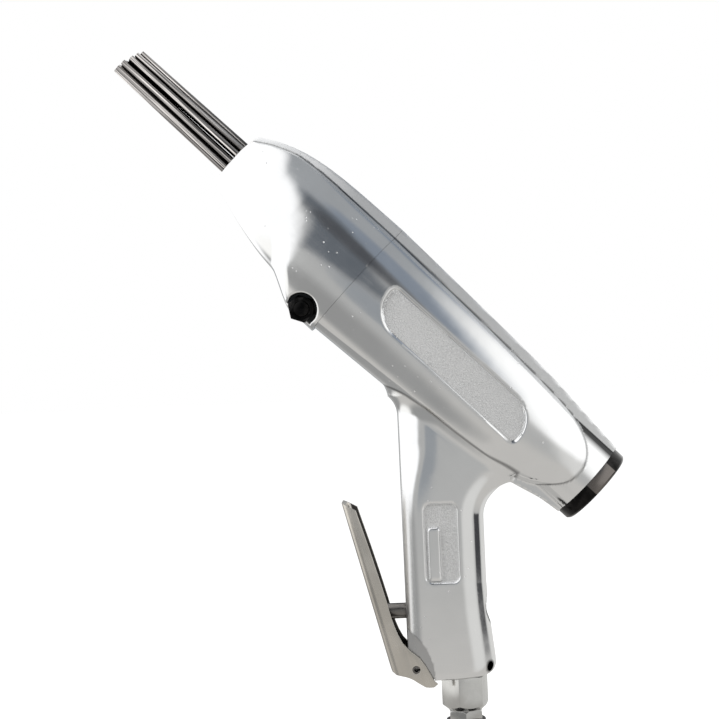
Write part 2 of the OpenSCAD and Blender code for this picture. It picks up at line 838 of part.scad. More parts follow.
// One rod of each ring, from the face of the heads to its tip
module each_needle(r, lead, reach_to) {
    for (ring = [0:len(needle_counts) - 1], k = [0:needle_counts[ring] - 1]) {
        angle = needle_starts[ring] + 360 * k / needle_counts[ring];
        rise = (1 + cos(angle) * needle_tip_pitch[ring] / max(needle_tip_pitch)) / 2;
        scatter = needle_scatter * sin(scatter_turn * (k + ring * len(needle_counts)));
        drop = needle_holder_pitch[ring] - needle_tip_pitch[ring];
        run = head_s + nose_len + needle_reach;
        length = reach_to < 0 ? run - needle_step * rise - abs(scatter) : reach_to;
        rotate([angle, 0, 0])
            translate([head_s, 0, needle_holder_pitch[ring]])
                rotate([0, -90 - atan(drop / run), 0])
                    translate([0, 0, -lead]) {
                        cylinder(h = length + lead, r = r, $fn = 24);
                        children();
                    }
    }
}
module needles() {
    color("slategray")
        on_barrel()
            each_needle(needle_d / 2, 0, -1)
                translate([0, 0, -needle_head_t])
                    cylinder(h = needle_head_t, r = needle_head_r, $fn = 24);
}
module needle_holder() {
    color("silver")
        on_barrel()
            difference() {
                bar(holder_s, head_s - pass_gap / 2, slide_r);
                each_needle(needle_d / 2 + needle_gap, over, holder_t + over);
            }
}
module return_spring() {
    color("gray")
        on_barrel()
            translate([spring_s, 0, 0])
                rotate([0, 90, 0])
                    coil(
                        holder_s - spring_s, chamber_r - return_clear - return_wire / 2,
                        return_wire, return_turns
                    );
}

// Impact parts
module anvil() {
    color("silver")
        on_barrel() {
            bar(anvil_s + pass_gap / 2, anvil_back_s, slide_r);
            bar(anvil_back_s, anvil_end_s, anvil_r);
        }
}
module buffer_ring() {
    color("dimgray")
        on_barrel()
            tube(buffer_s, sleeve_s, bore_r - buffer_r_gap, anvil_r + buffer_hole_gap);
}
module cylinder_sleeve() {
    color("silver")
        on_barrel()
            difference() {
                tube(sleeve_s, chest_s, sleeve_r, cylinder_r);
                for (k = [0:exhaust_count - 1])
                    rotate([360 * k / exhaust_count, 0, 0])
                        translate([mix(sleeve_s, chest_s, exhaust_share), 0, 0])
                            cylinder(h = sleeve_r + over, r = exhaust_r);
            }
}
module anvil_bush() {
    color("peru")
        on_barrel()
            tube(sleeve_s, sleeve_s + anvil_bush_len, cylinder_r - seat_gap, anvil_r + run_gap);
}
module piston() {
    color("silver")
        on_barrel()
            bar(piston_s, piston_s + piston_len, cylinder_r - run_gap);
}
module valve_body() {
    color("gray")
        on_barrel()
            difference() {
                bar(chest_s, cover_s, sleeve_r);
                for (k = [0:port_count - 1])
                    rotate([360 * k / port_count, 0, 0])
                        translate([0, 0, cylinder_r * port_share])
                            bar(chest_s - over, cover_s + over, port_r);
            }
}
module valve_disc() {
    color("silver")
        on_barrel()
            bar(disc_s, disc_s + disc_t, cylinder_r - disc_edge_gap);
}
module valve_cover() {
    color("gray")
        on_barrel()
            difference() {
                bar(cover_s, boss_s, sleeve_r);
                bar(cover_s - over, cover_s + 2 * disc_gap + disc_t + disc_travel, cylinder_r);
                bar(cover_s, boss_s + over, cover_way_r);
            }
}

// Lever and its pin
function lever_point(p) = lever_len * p;
lever_outline = concat(
    [
        for (i = [0:lever_inner_steps])
            let (
                z = mix(lever_inner_shares[0][0], lever_inner_shares[len(lever_inner_shares) - 1][0],
                    i / lever_inner_steps)
            )
            lever_point([curve(z, lever_inner_shares), z])
    ],
    [lever_point(lever_tip_share), lever_point(lever_heel_share), lever_point(lever_heel_round_share)],
    [
        for (i = [0:lever_foot_steps])
            let (
                x = mix(lever_foot_shares[0][0], lever_foot_shares[len(lever_foot_shares) - 1][0],
                    i / lever_foot_steps)
            )
            lever_point([x, curve(x, lever_foot_shares)])
    ]
);
// Bar along the lever whose outer edges are bent round
module lever_channel(half_w, inset, bend) {
    heel = lever_point(lever_heel_share);
    translate([heel[0], 0, heel[1]])
        rotate([0, -lever_lean, 0])
            translate([inset, 0, -lever_len / 2])
                linear_extrude(height = 2 * lever_len) {
                    translate([0, -half_w + bend])
                        square([lever_len, 2 * (half_w - bend)]);
                    translate([bend, -half_w])
                        square([lever_len, 2 * half_w]);
                    for (side = [-1, 1])
                        translate([bend, side * (half_w - bend)])
                            circle(bend);
                }
}
module throttle_lever() {
    color("darkgray")
        translate([-pivot_x, 0, grip_z + pivot_z])
            difference() {
                intersection() {
                    rotate([90, 0, 0])
                        linear_extrude(height = 2 * lever_half_w, center = true)
                            polygon(lever_outline);
                    lever_channel(lever_half_w, 0, lever_bend);
                }
                lever_channel(ear_half, lever_sheet, lever_bend - lever_sheet);
                rotate([90, 0, 0])
                    cylinder(h = far, r = pivot_r + run_gap, center = true);
            }
}
module lever_pin() {
    color("gray")
        translate([-pivot_x, 0, grip_z + pivot_z])
            rotate([90, 0, 0])
                difference() {
                    cylinder(h = 2 * (lever_half_w - ear_clear), r = pivot_r, center = true);
                    cylinder(h = far, r = pivot_r * roll_pin_bore_share, center = true);
                    translate([0, -roll_pin_slot / 2, -far / 2])
                        cube([pivot_r + over, roll_pin_slot, far]);
                }
}

// Throttle valve
module throttle_pin() {
    color("gray")
        on_throttle() {
            translate([throttle_dome_x, 0, 0])
                sphere(throttle_r);
            bar(throttle_dome_x, valve_in_x - throttle_shoulder_gap, throttle_r);
            bar(valve_in_x - throttle_shoulder_gap, poppet_x, stem_r);
            bar(poppet_x, poppet_back_x, valve_r - poppet_gap);
            bar(poppet_back_x, poppet_back_x + spring_post_len, stem_r);
        }
}
module throttle_seal() {
    color("black")
        on_throttle()
            tube(valve_face_x + pass_gap, poppet_x, valve_r - poppet_gap, stem_r + seat_gap);
}
module throttle_bush() {
    color("peru")
        on_throttle()
            difference() {
                tube(valve_in_x, valve_face_x, valve_r, bush_way_r);
                translate([outlet_x, 0, 0])
                    cylinder(h = valve_r + over, r = outlet_r);
            }
}
module throttle_spring() {
    color("gray")
        on_throttle()
            translate([poppet_back_x, 0, 0])
                rotate([0, 90, 0])
                    coil(
                        valve_plug_x - poppet_back_x, stem_r + spring_post_gap + throttle_wire / 2,
                        throttle_wire, throttle_turns
                    );
}
module valve_plug() {
    back = valve_plug_x + valve_plug_len;
    color("gray")
        on_throttle()
            difference() {
                bar(valve_plug_x, back, valve_r);
                tube(
                    valve_plug_x + ring_groove_lead, valve_plug_x + ring_groove_lead + ring_groove,
                    valve_r + over, valve_r - 2 * ring_r - seat_gap
                );
                translate([back - plug_socket_depth, 0, 0])
                    rotate([0, 90, 0])
                        hex_bar(plug_socket_af, plug_socket_depth + over);
            }
}
module plug_seal() {
    color("darkslategray")
        on_throttle()
            translate([valve_plug_x + ring_groove_lead + ring_groove / 2, 0, 0])
                rotate([0, 90, 0])
                    seal_ring(valve_r, ring_r);
}

// Air inlet
module inlet_bushing() {
    corner_r = inlet_af / sqrt(3);
    thread_top = inlet_hex_h + inlet_thread_len;
    color("lightgray")
        translate([0, 0, hex_z])
            difference() {
                union() {
                    intersection() {
                        rotate([0, 0, inlet_turn])
                            hex_bar(inlet_af, inlet_hex_h);
                        rotate_extrude()
                            polygon([
                                [0, 0], [inlet_rim_r, 0], [corner_r + plug_edge, inlet_chamfer_h],
                                [corner_r + plug_edge, inlet_hex_h], [0, inlet_hex_h]
                            ]);
                    }
                    cylinder(h = thread_top - seat_gap, r = inlet_r);
                }
                translate([0, 0, -over])
                    cylinder(h = thread_top + 2 * over, r = inlet_bore_r);
                translate([0, 0, -over])
                    cylinder(h = plug_thread_len + over, r = plug_thread_r + seat_gap);
                translate([0, 0, thread_top - screen_t])
                    cylinder(h = screen_t + over, r = inlet_bore_r + screen_wall);
                translate([0, 0, inlet_hex_h + inlet_thread_len / 2])
                    rotate_extrude()
                        translate([inlet_r - 2 * ring_r - seat_gap, -ring_groove / 2])
                            square([inlet_r, ring_groove]);
            }
}
module inlet_seal() {
    color("darkslategray")
        translate([0, 0, grip_z + inlet_thread_len / 2])
            seal_ring(inlet_r, ring_r);
}
module inlet_screen() {
    color("goldenrod")
        translate([0, 0, grip_z + inlet_thread_len - screen_t])
            difference() {
                cylinder(h = screen_t - seat_gap, r = inlet_bore_r + screen_wall - seat_gap);
                for (k = [0:screen_holes - 1])
                    rotate([0, 0, 360 * k / screen_holes])
                        translate([inlet_bore_r * screen_ring_share, 0, -over])
                            cylinder(h = screen_t + 2 * over, r = screen_hole_r);
                translate([0, 0, -over])
                    cylinder(h = screen_t + 2 * over, r = screen_hole_r);
            }
}
module lock_screw() {
    color("dimgray")
        difference() {
            lock_way(inlet_r + pass_gap, inlet_r + pass_gap + lock_len, lock_r);
            translate([0, 0, grip_z + lock_z])
                rotate([0, 0, lock_turn])
                    translate([inlet_r + pass_gap + lock_len - lock_socket_depth, 0, 0])
                        rotate([0, 90, 0])
                            hex_bar(lock_socket_af, lock_socket_depth + over);
        }
}
module hose_plug() {
    color("silver")
        difference() {
            union() {
                cylinder(h = hex_z, r = plug_stem_r);
                translate([0, 0, collar_z])
                    cylinder(h = collar_h + plug_hex_h + plug_thread_len, r = plug_thread_r);
                translate([0, 0, collar_z + collar_h])
                    intersection() {
                        rotate([0, 0, plug_turn])
                            hex_bar(plug_af, plug_hex_h);
                        cylinder(
                            h = plug_hex_h,
                            r1 = plug_af / sqrt(3) + plug_hex_h - plug_chamfer,
                            r2 = plug_af / sqrt(3) - plug_chamfer
                        );
                    }
            }
            translate([0, 0, -over])
                cylinder(h = far, r = plug_bore_r);
        }
}
module plug_collar() {
    color("black")
        translate([0, 0, collar_z])
            difference() {
                cylinder(h = collar_h, r = collar_r);
                translate([0, 0, -over])
                    cylinder(h = collar_h + 2 * over, r = plug_thread_r + seat_gap);
            }
}

main_housing();
nose_housing();
clamp_bolt();
clamp_nut();
rear_cap();
cap_seal();
nose_bush();
needles();
needle_holder();
return_spring();
anvil();
buffer_ring();
cylinder_sleeve();
anvil_bush();
piston();
valve_body();
valve_disc();
valve_cover();
throttle_lever();
lever_pin();
throttle_pin();
throttle_seal();
throttle_bush();
throttle_spring();
valve_plug();
plug_seal();
inlet_bushing();
inlet_seal();
inlet_screen();
lock_screw();
hose_plug();
plug_collar();
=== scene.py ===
"""Needle scaler: polished castings, needle bundle, lever and inlet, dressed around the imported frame."""
import json
import math
from functools import cache, reduce
from typing import NamedTuple

import bmesh
import bpy
import numpy as np
from mathutils import Matrix, Vector


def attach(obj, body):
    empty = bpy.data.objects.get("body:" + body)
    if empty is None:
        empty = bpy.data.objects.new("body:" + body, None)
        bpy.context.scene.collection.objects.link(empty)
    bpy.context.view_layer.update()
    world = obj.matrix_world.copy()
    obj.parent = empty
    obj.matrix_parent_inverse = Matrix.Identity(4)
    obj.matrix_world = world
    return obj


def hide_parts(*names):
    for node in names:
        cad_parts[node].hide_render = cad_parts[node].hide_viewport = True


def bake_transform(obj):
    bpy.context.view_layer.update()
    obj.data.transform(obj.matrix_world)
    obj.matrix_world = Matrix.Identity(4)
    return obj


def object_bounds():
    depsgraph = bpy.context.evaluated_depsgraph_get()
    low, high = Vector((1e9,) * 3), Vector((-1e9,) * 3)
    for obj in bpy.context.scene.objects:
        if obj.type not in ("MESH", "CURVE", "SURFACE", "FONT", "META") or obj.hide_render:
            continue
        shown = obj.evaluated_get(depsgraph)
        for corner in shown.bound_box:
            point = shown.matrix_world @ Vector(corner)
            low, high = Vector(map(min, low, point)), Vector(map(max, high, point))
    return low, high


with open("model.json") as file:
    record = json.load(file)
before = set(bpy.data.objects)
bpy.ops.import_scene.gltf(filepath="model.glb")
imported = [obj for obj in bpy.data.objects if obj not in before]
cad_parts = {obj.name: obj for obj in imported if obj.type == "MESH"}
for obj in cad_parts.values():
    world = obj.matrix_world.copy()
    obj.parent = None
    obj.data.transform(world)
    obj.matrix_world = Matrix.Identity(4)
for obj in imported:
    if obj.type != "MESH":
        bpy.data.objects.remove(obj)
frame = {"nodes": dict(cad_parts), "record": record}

CAD_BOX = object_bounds()

bl_info = {
    "name": "Needle Scaler",
    "version": (1, 0, 0),
    "blender": (4, 5, 0),
    "location": "View3D > Sidebar > Needle Scaler",
    "description": "Dresses a pistol-grip needle scaler in its castings, steels and studio",
    "category": "Object",
}

IMAGE_SIDE = 719  # Pixels
SENSOR_WIDTH = 36.0  # Millimetres
TINY = 1e-9  # Keeps divisors clear of zero

# Main casting along the barrel: share of its length, share of the size named
RIB_MAIN_SHARES = ((0, 1), (0.33, 0.949), (0.66, 0.883), (0.9, 0.77), (1, 0.72))
TOP_MAIN_SHARES = (
    (0, 1), (0.33, 0.96), (0.66, 0.878), (0.78, 0.83), (0.86, 0.785), (0.92, 0.72), (0.958, 0.6), (1, 0.45),
)
BOTTOM_MAIN_SHARES = (
    (0, 1), (0.33, 0.958), (0.53, 0.93), (0.66, 0.87), (0.78, 0.731), (0.86, 0.634), (0.91, 0.517),
    (0.95, 0.45), (1, 0.25),
)
WIDTH_MAIN_SHARES = (
    (0, 1), (0.33, 1), (0.66, 0.982), (0.78, 0.945), (0.86, 0.909), (0.91, 0.873), (0.95, 0.829),
    (0.973, 0.764), (1, 0.65),
)
KEEL_MAIN_SHARES = (
    (0, 0.6), (0.5, 0.8), (0.66, 0.855), (0.78, 0.735), (0.86, 0.657), (0.93, 0.59), (1, 0.557),
)
# Nose casting: share of its length, share of the way from the face's size to the seam's
RIB_NOSE_SHARES = ((0, 1), (0.35, 0.96), (0.526, 0.895), (0.7, 0.737), (0.877, 0.388), (1, 0))
TOP_NOSE_SHARES = ((0, 1), (0.47, 1), (0.7, 0.905), (0.877, 0.5), (1, 0))
BOTTOM_NOSE_SHARES = ((0, 1), (0.33, 1), (0.43, 0.93), (0.515, 0.863), (0.713, 0.59), (0.954, 0.09), (1, 0))
WIDTH_NOSE_SHARES = ((0, 1), (0.33, 0.955), (0.515, 0.82), (0.713, 0.55), (0.877, 0.28), (1, 0))
# Opening of the pads' rounded end for each length before its start
END_OPENING = 0.08
# Grip's rear edge above its foot: share of the flare's height, share of the flare
FLARE_SHARES = ((0, 1.04), (0.12, 1), (0.38, 0.66), (0.72, 0.2), (1, 0))
# Rounding of the sunk panel's corners, as shares of its height
PANEL_CORNERS = (0.8, 0.2, 0.8, 0.2)
# Where the grip's foot ends, back along the barrel and below its axis
GRIP_BACK, GRIP_BELOW = 0.198, 0.143
# How far the tables run past a casting's ends, and up over the grip's foot
TABLE_ROOM, GRIP_TABLE_TOP = 0.01, 0.2
# Floors of the recesses have a rough skin, but not this close to their walls
SKIN_RIM = 0.0012
# Strength of the painted shade at rims and beside the rib, and a level past 1 that leaves no polish at all
RIM_SHADE, NOOK_SHADE, DEEP_SHADE = 2, 2.2, 1.15
# Angles in degrees past which edges stay sharp, on castings and on other pieces
CASTING_CREASE, CREASE = 40, 32
# Fittings: points closer than this join, faces flatter than this join, edges past this angle are broken
MERGE, FLAT_ANGLE, EDGE_ANGLE = 2e-6, 0.6, 28
EDGE_SEGMENTS, BEND_SEGMENTS = 2, 5
# Sheet metal: least length of a bend, and how far its flanges' and its web's faces point sideways
BEND_LENGTH, FLANGE_TURN, WEB_TURN = 0.03, 0.9, 0.1


def length(description, default):
    """A length that a user can set."""
    return bpy.props.FloatProperty(description=description, default=default, unit="LENGTH", precision=5)


def share(description, default, low=0.0, high=1.0):
    """A plain factor that a user can set."""
    return bpy.props.FloatProperty(description=description, default=default, min=low, max=high)


def angle(description, degrees):
    """An angle that a user can set."""
    return bpy.props.FloatProperty(description=description, default=math.radians(degrees), subtype="ANGLE")


def colour(description, default):
    """A linear colour that a user can set."""
    return bpy.props.FloatVectorProperty(
        description=description, default=default, size=3, subtype="COLOR", min=0.0, max=1.0
    )


class BarrelSizes(bpy.types.PropertyGroup):
    """Sizes of the main casting's barrel."""

    rake: angle("Slope of the barrel below the horizontal", 45)
    cross_s: length("From the seam back to the inlet's axis", 0.0629)
    cross_z: length("Height of the barrel's axis over the hose plug's tip", 0.227)
    length: length("From the seam to the rear face of the neck", 0.1604)
    half_w: length("Half the width over the side pads", 0.0275)
    top: length("Height of the side pads above the axis", 0.0271)
    bottom: length("Depth of the side pads below the axis", 0.0402)
    rib_top: length("Height of the spine rib above the axis", 0.0316)
    rib_half_w: length("Half the width of the spine rib and the keel", 0.0105)
    rib_round: length("Rounding of the rib's edges", 0.0009)
    # The cap's patch is a painted reflection, a brown band along its sides
    reflection_h: length("Middle of the cap's rubbed patch above the axis", 0.0055)
    reflection_w: length("Width of that patch", 0.0155)
    reflection_fade: length("Softness of its borders", 0.0003)
    end_s: length("Where the rounded end of the pads begins", 0.108)
    end_len: length("Length of that rounded end", 0.0455)
    end_top: length("Height of that end above the axis", 0.0223)
    end_bottom: length("Depth of that end below the axis", 0.0255)
    end_slope: share("Drop of the end's wall for its run", 0.55, 0, 4)
    neck_r: length("Radius of the round neck", 0.0223)
    neck_start: length("Where the neck begins inside the pads", 0.096)
    crease: length("Fillet where rib, neck and pads meet", 0.0004)
    # The strip on the neck beside the rib and the ring round each bore get painted shade
    nook: length("Reach of the dull strip on the neck beside the rib", 0.0065)
    bore_rim: length("Reach of the grime round a bore", 0.0012)
    seam_gap: length("Half the width of the seam between the castings", 0.00006)
    power: share("Exponent of the pads' section", 2.2, 1.5, 6)
    panel_s: length("From the seam to the sunk panel", 0.0172)
    panel_mid_h: length("Height of the panel's middle", -0.0026)
    panel_len: length("Length of the sunk panel", 0.101)
    panel_h: length("Height of the sunk panel", 0.0207)
    panel_depth: length("Depth of the sunk panel", 0.002)
    panel_turn: angle("Turn of the panel's floor", 0.6)
    wall_slope: share("Run of a recess wall for its depth", 0.55, 0, 2)
    rim: length("Rounding of the recess rims", 0.0007)
    pocket_r: length("Hollow for the moving pieces behind the seam", 0.0186)
    pocket_depth: length("Depth of that hollow", 0.022)
    step: length("Spacing of the casting's mesh", 0.00086)


class NoseSizes(bpy.types.PropertyGroup):
    """Sizes of the nose casting."""

    length: length("Length of the nose", 0.0912)
    face_r: length("Radius of the nose's front face", 0.0164)
    face_top: length("Height of the pads at the front face", 0.0137)
    bottom: length("Depth below the axis in front of the lug", 0.031)
    lug_len: length("Length of the clamp lug", 0.016)
    lug_fillet: length("Run-out of the lug in front", 0.014)
    lug_slant: share("Forward lean of the lug's front for its height", 0.8, 0, 2)
    rib_share: share("Rib width at the face as a share of its full width", 0.45)
    face_round: length("Rounding of the front face's edge", 0.0016)
    bush_r: length("Radius of the bush's seat", 0.01355)
    bush_depth: length("Depth of the bush's seat", 0.0162)
    chamber_r: length("Radius of the spring chamber", 0.0176)
    spigot_len: length("Depth of the wide bore at the seam", 0.0223)
    bolt_s: length("From the seam forward to the clamp bolt", 0.0112)
    bolt_h: length("Depth of the clamp bolt below the axis", 0.0349)
    nut_r: length("Radius of the nut's pocket", 0.0081)
    clamp_half_t: length("Half the lug's thickness between the pockets", 0.009)
    pocket_rim: length("Rounding of the pocket's rim", 0.0016)
    slit_half_w: length("Half the width of the slit through the lug", 0.001)
    slit_top: length("Where the slit ends below the axis", 0.0165)
    slit_len: length("Length of the slit from the seam", 0.0232)
    step: length("Spacing of the casting's mesh", 0.00064)


class GripSizes(bpy.types.PropertyGroup):
    """Sizes of the grip below the barrel."""

    foot_z: length("Height of the grip's foot over the hose plug's tip", 0.056)
    front: length("Front edge before the inlet's axis", 0.0295)
    rear: length("Rear edge behind the inlet's axis", 0.0139)
    flare: length("Extra depth at the foot", 0.0035)
    flare_h: length("Height of the flare", 0.05)
    half_w: length("Half the grip's width", 0.016)
    corner: length("Rounding of the foot at the back", 0.008)
    edge: length("Rounding of the foot's edges", 0.0035)
    power: share("Exponent of the grip's section at its root", 2.3, 1.5, 6)
    low_power: share("Exponent of the grip's section in the hand", 4.2, 1.5, 8)
    power_z: length("Where the section starts to change, over the foot", 0.085)
    power_h: length("Height over which the section changes", 0.04)
    rub_z: length("Top of the front that fingers rub, over the foot", 0.106)
    rub_x: length("Where that front starts before the axis", 0.0225)
    rub_fade: length("Height over which it fades", 0.012)
    notch_r: length("Hollow behind the grip", 0.017)
    notch_z: length("Height of the hollow's centre over the foot", 0.084)
    root_r: length("Fillet between the grip's front and the barrel", 0.015)
    root_z: length("Where that fillet starts over the foot", 0.1398)
    rear_round: length("Rounding of the grip's back and of the hollow's edges", 0.016)
    top_z: length("Where the grip ends inside the barrel, over the foot", 0.155)
    root_blend: length("Blend of the grip into the barrel", 0.0095)
    root_inset: length("How far the blend stays under the pads", 0.0026)
    plate_x: length("Middle of the sunk plate before the axis", 0.009)
    plate_z: length("Middle of the sunk plate over the foot", 0.0725)
    plate_w: length("Width of the sunk plate", 0.0182)
    plate_h: length("Height of the sunk plate", 0.0425)
    plate_round: length("Rounding of the plate's corners", 0.004)
    plate_depth: length("Depth of the sunk plate", 0.0016)
    field_x: length("Middle of the raised field before the axis", 0.0128)
    field_z: length("Middle of the raised field over the foot", 0.0668)
    field_w: length("Width of the raised field", 0.0056)
    field_h: length("Height of the raised field", 0.027)
    field_round: length("Rounding of the field's corners", 0.001)
    lug_half_t: length("Half the lug that carries the lever", 0.0095)
    flat_x: length("Centre of the ears' flats before the axis", 0.047)
    flat_z: length("Centre of the ears' flats over the foot", 0.0018)
    flat_r: length("Radius of the flats beside the lever", 0.0312)
    # The flats beside the lever get painted shade
    ear_shade: share("Grime on the flats beside the lever", 0.5)
    pivot_x: length("Lever's pin before the axis", 0.0252)
    pivot_z: length("Lever's pin over the foot", 0.0057)
    pivot_r: length("Bore of the lever's pin", 0.0021)
    valve_z: length("Throttle valve over the foot", 0.0356)
    valve_r: length("Radius of the valve's bore", 0.00805)
    plug_x: length("Inner end of the valve's plug", 0.0069)
    pin_bore: length("Radius of the throttle pin's bore", 0.0045)
    pin_depth: length("Inner end of that bore before the axis", 0.012)
    lock_z: length("Lock screw over the foot", 0.0062)
    lock_r: length("Radius of the lock screw's bore", 0.00255)
    lock_in: length("Inner end of that bore from the axis", 0.0125)
    lock_turn: angle("Turn of the lock screw from the rear", -38)


class NeedleSizes(bpy.types.PropertyGroup):
    """The needle bundle."""

    radius: length("Radius of a needle", 0.0015)
    head_s: length("From the seam back to the needles' heads", 0.006)
    reach: length("Reach of the longest needle before the nose", 0.081)
    step: length("How much shorter the uppermost needles stand", 0.0045)
    scatter: length("Spread of the needles' lengths", 0.0007)
    bend: length("Wander of a needle along its length", 0.0004)
    head_r: length("Radius of a needle's head", 0.0019)
    head_t: length("Thickness of a needle's head", 0.0025)


class FinishColours(bpy.types.PropertyGroup):
    """Colours of the finishes."""

    aluminium: colour("Polished castings", (0.86, 0.865, 0.87))
    cast_skin: colour("Floors of the sunk panel and plate", (0.78, 0.78, 0.775))
    black_oxide: colour("Nut, bolt, cap and plugs", (0.013, 0.0125, 0.0125))
    # Colour of the cap's painted reflection
    cap_reflection: colour("Patch on the side of the cap", (0.17, 0.155, 0.145))
    needle: colour("Drawn rods", (0.15, 0.143, 0.138))
    lever: colour("Pressed sheet", (0.66, 0.63, 0.58))
    ground: colour("Inner pieces", (0.47, 0.46, 0.45))
    # Darker steel of the two pins, which at the lever pin's sunk end is painted shade
    oiled: colour("Pins of the lever and the throttle", (0.2, 0.19, 0.18))
    plated: colour("Inlet bushing and hose plug", (0.62, 0.62, 0.61))
    bronze: colour("Bushes and screen", (0.62, 0.33, 0.18))
    rubber: colour("Seals and buffer", (0.02, 0.02, 0.021))
    plastic: colour("Collar of the hose plug", (0.014, 0.014, 0.015))


class StageSettings(bpy.types.PropertyGroup):
    """Camera, floor and lights."""

    azimuth: angle("Turn of the camera round the part", 2.4)
    elevation: angle("Height of the camera", 0.63)
    roll: angle("Roll of the camera", -2.6)
    distance: length("Camera to its aim", 0.9094)
    aim_x: length("Where the camera aims", -0.0483)
    aim_z: length("Height where the camera aims", 0.2266)
    focal_px: bpy.props.FloatProperty(description="Focal length in pixels of the image", default=1703.0)
    ambient: share("Strength of the surrounding light", 0.75, 0, 2)
    tent_reach: length("Radius of the light tent that reflections show", 0.5)


def settings(name):
    """A group of settings on the scene."""
    return getattr(bpy.context.scene, name)


# Curves and distances

def curve(x, points):
    """Smooth curve through points of (place, value), with no overshoot."""
    places, values = np.array(points, float).T
    chord = np.diff(values) / np.diff(places)
    product = chord[:-1] * chord[1:]
    total = np.where(product > 0, chord[:-1] + chord[1:], 1)
    inner = np.where(product > 0, 2 * product / total, 0)
    tangent = np.concatenate([chord[:1], inner, chord[-1:]])
    x = np.clip(x, places[0], places[-1])
    i = np.clip(np.searchsorted(places, x, side="right") - 1, 0, len(places) - 2)
    w = places[i + 1] - places[i]
    u = (x - places[i]) / w
    p, q = values[i], values[i + 1]
    a, b = tangent[i] * w, tangent[i + 1] * w
    return p + u * (a + u * (3 * (q - p) - 2 * a - b + u * (2 * (p - q) + a + b)))


def tabled(rule, low, high, steps=2400):
    """A rule of one coordinate as a quick table."""
    places = np.linspace(low, high, steps)
    values = rule(places)
    return lambda x: np.interp(x, places, values).astype(np.asarray(x).dtype)


def mix(a, b, t):
    """A value a share of the way from one to another."""
    return a + (b - a) * t


def smooth_min(a, b, k):
    """Union of two distances with a fillet of about k."""
    h = np.maximum(k - np.abs(a - b), 0) / k
    return np.minimum(a, b) - h * h * (k / 4)


def smooth_max(a, b, k):
    """Cut of two distances with a rounding of about k."""
    return -smooth_min(-a, -b, k)


def union(*distances):
    """Distance to several forms together."""
    return reduce(np.minimum, distances)


def overlap(*distances):
    """Distance to what several forms share."""
    return reduce(np.maximum, distances)


def rounded_corner(u, v, r):
    """Distance to a round corner, from the distances past its centre."""
    return np.hypot(np.maximum(u, 0), np.maximum(v, 0)) + np.minimum(np.maximum(u, v), 0) - r


def rounded_box(x, y, half_x, half_y, r):
    """Distance to a rectangle with round corners."""
    return rounded_corner(np.abs(x) - (half_x - r), np.abs(y) - (half_y - r), r)


def outline_distance(x, y, corners):
    """Distance to a closed outline."""
    best = np.full(np.broadcast(x, y).shape, 1.0)
    inside = np.zeros(best.shape, bool)
    for (ax, ay), (bx, by) in zip(corners, np.roll(corners, -1, 0)):
        ex, ey = bx - ax, by - ay
        wx, wy = x - ax, y - ay
        t = np.clip((wx * ex + wy * ey) / (ex * ex + ey * ey), 0, 1)
        best = np.minimum(best, np.hypot(wx - ex * t, wy - ey * t))
        crosses = (ay > y) != (by > y)
        inside ^= crosses & (x < ax + (y - ay) / np.where(by == ay, TINY, by - ay) * ex)
    return np.where(inside, -best, best)


def corner_outline(w, h, radii, steps=10):
    """Rounded outline from its lower corner, with one radius for each corner."""
    points = []
    for k, r in enumerate(radii):
        mx = w - r if k in (1, 2) else r
        my = h - r if k in (2, 3) else r
        for i in range(steps + 1):
            t = math.radians(180 + 90 * k + 90 * i / steps)
            points.append((mx + r * math.cos(t), my + r * math.sin(t)))
    return np.array(points)


def gauge_distance(total, slope, n, least=1e-12, flattest=1e-6):
    """Distance to where a sum of powers is one."""
    total = np.maximum(total, least)
    q = total ** (1 / n)
    return (q - 1) * n * total / (q * np.maximum(slope, flattest))


def pad_distance(s, y, h, width, top, bottom, power, nudge=1e-4):
    """Distance to a barrel whose section is a rounded oval that changes along it."""
    ay, ah = np.abs(y) + TINY, np.abs(h) + TINY

    def powers(at):
        n = power(at)
        return (ay / width(at)) ** n, (ah / np.where(h > 0, top(at), bottom(at))) ** n

    n = power(s)
    u, v = powers(s)
    u1, v1 = powers(s + nudge)
    u0, v0 = powers(s - nudge)
    along = ((u1 - u0) + (v1 - v0)) / (2 * nudge)
    slope = np.sqrt((n * u / ay) ** 2 + (n * v / ah) ** 2 + along ** 2)
    return gauge_distance(u + v, slope, n)


def rib_distance(y, h, half_w, top, r):
    """Distance to a rib that stands on the axis and rises to its top."""
    return np.maximum(rounded_corner(np.abs(y) - (half_w - r), h - (top - r), r), -h)


def rib_flank(pads, y, h, half_w, edge=0.0004, spread=0.0005):
    """Mask of the rib's flanks, where they stand clear of the pads."""
    clear = np.clip((pads - edge / 2) / spread, 0, 1)
    return clear * (h > 0) * np.clip((edge + spread - np.abs(np.abs(y) - half_w)) / spread, 0, 1)


def crevice(forms, reach=0.0006):
    """Mask of the creases where two forms meet, which get painted shade."""
    second = np.sort(np.broadcast_arrays(*forms), axis=0)[1]
    return np.clip(1 - np.abs(second) / reach, 0, 1)


def barrel_axes():
    """Directions along the barrel and across it, and the seam's centre."""
    b = settings("scaler_barrel")
    back = np.array([math.cos(b.rake), 0, -math.sin(b.rake)])
    over = np.array([math.sin(b.rake), 0, math.cos(b.rake)])
    return back, over, np.array([0, 0, b.cross_z]) - back * b.cross_s


def inlet_coordinates(s, h):
    """Places along X and above the grip's foot, from places on the barrel."""
    b, g = settings("scaler_barrel"), settings("scaler_grip")
    c, d = math.cos(b.rake), math.sin(b.rake)
    run = s - b.cross_s
    return run * c + h * d, b.cross_z - g.foot_z - run * d + h * c


# Castings

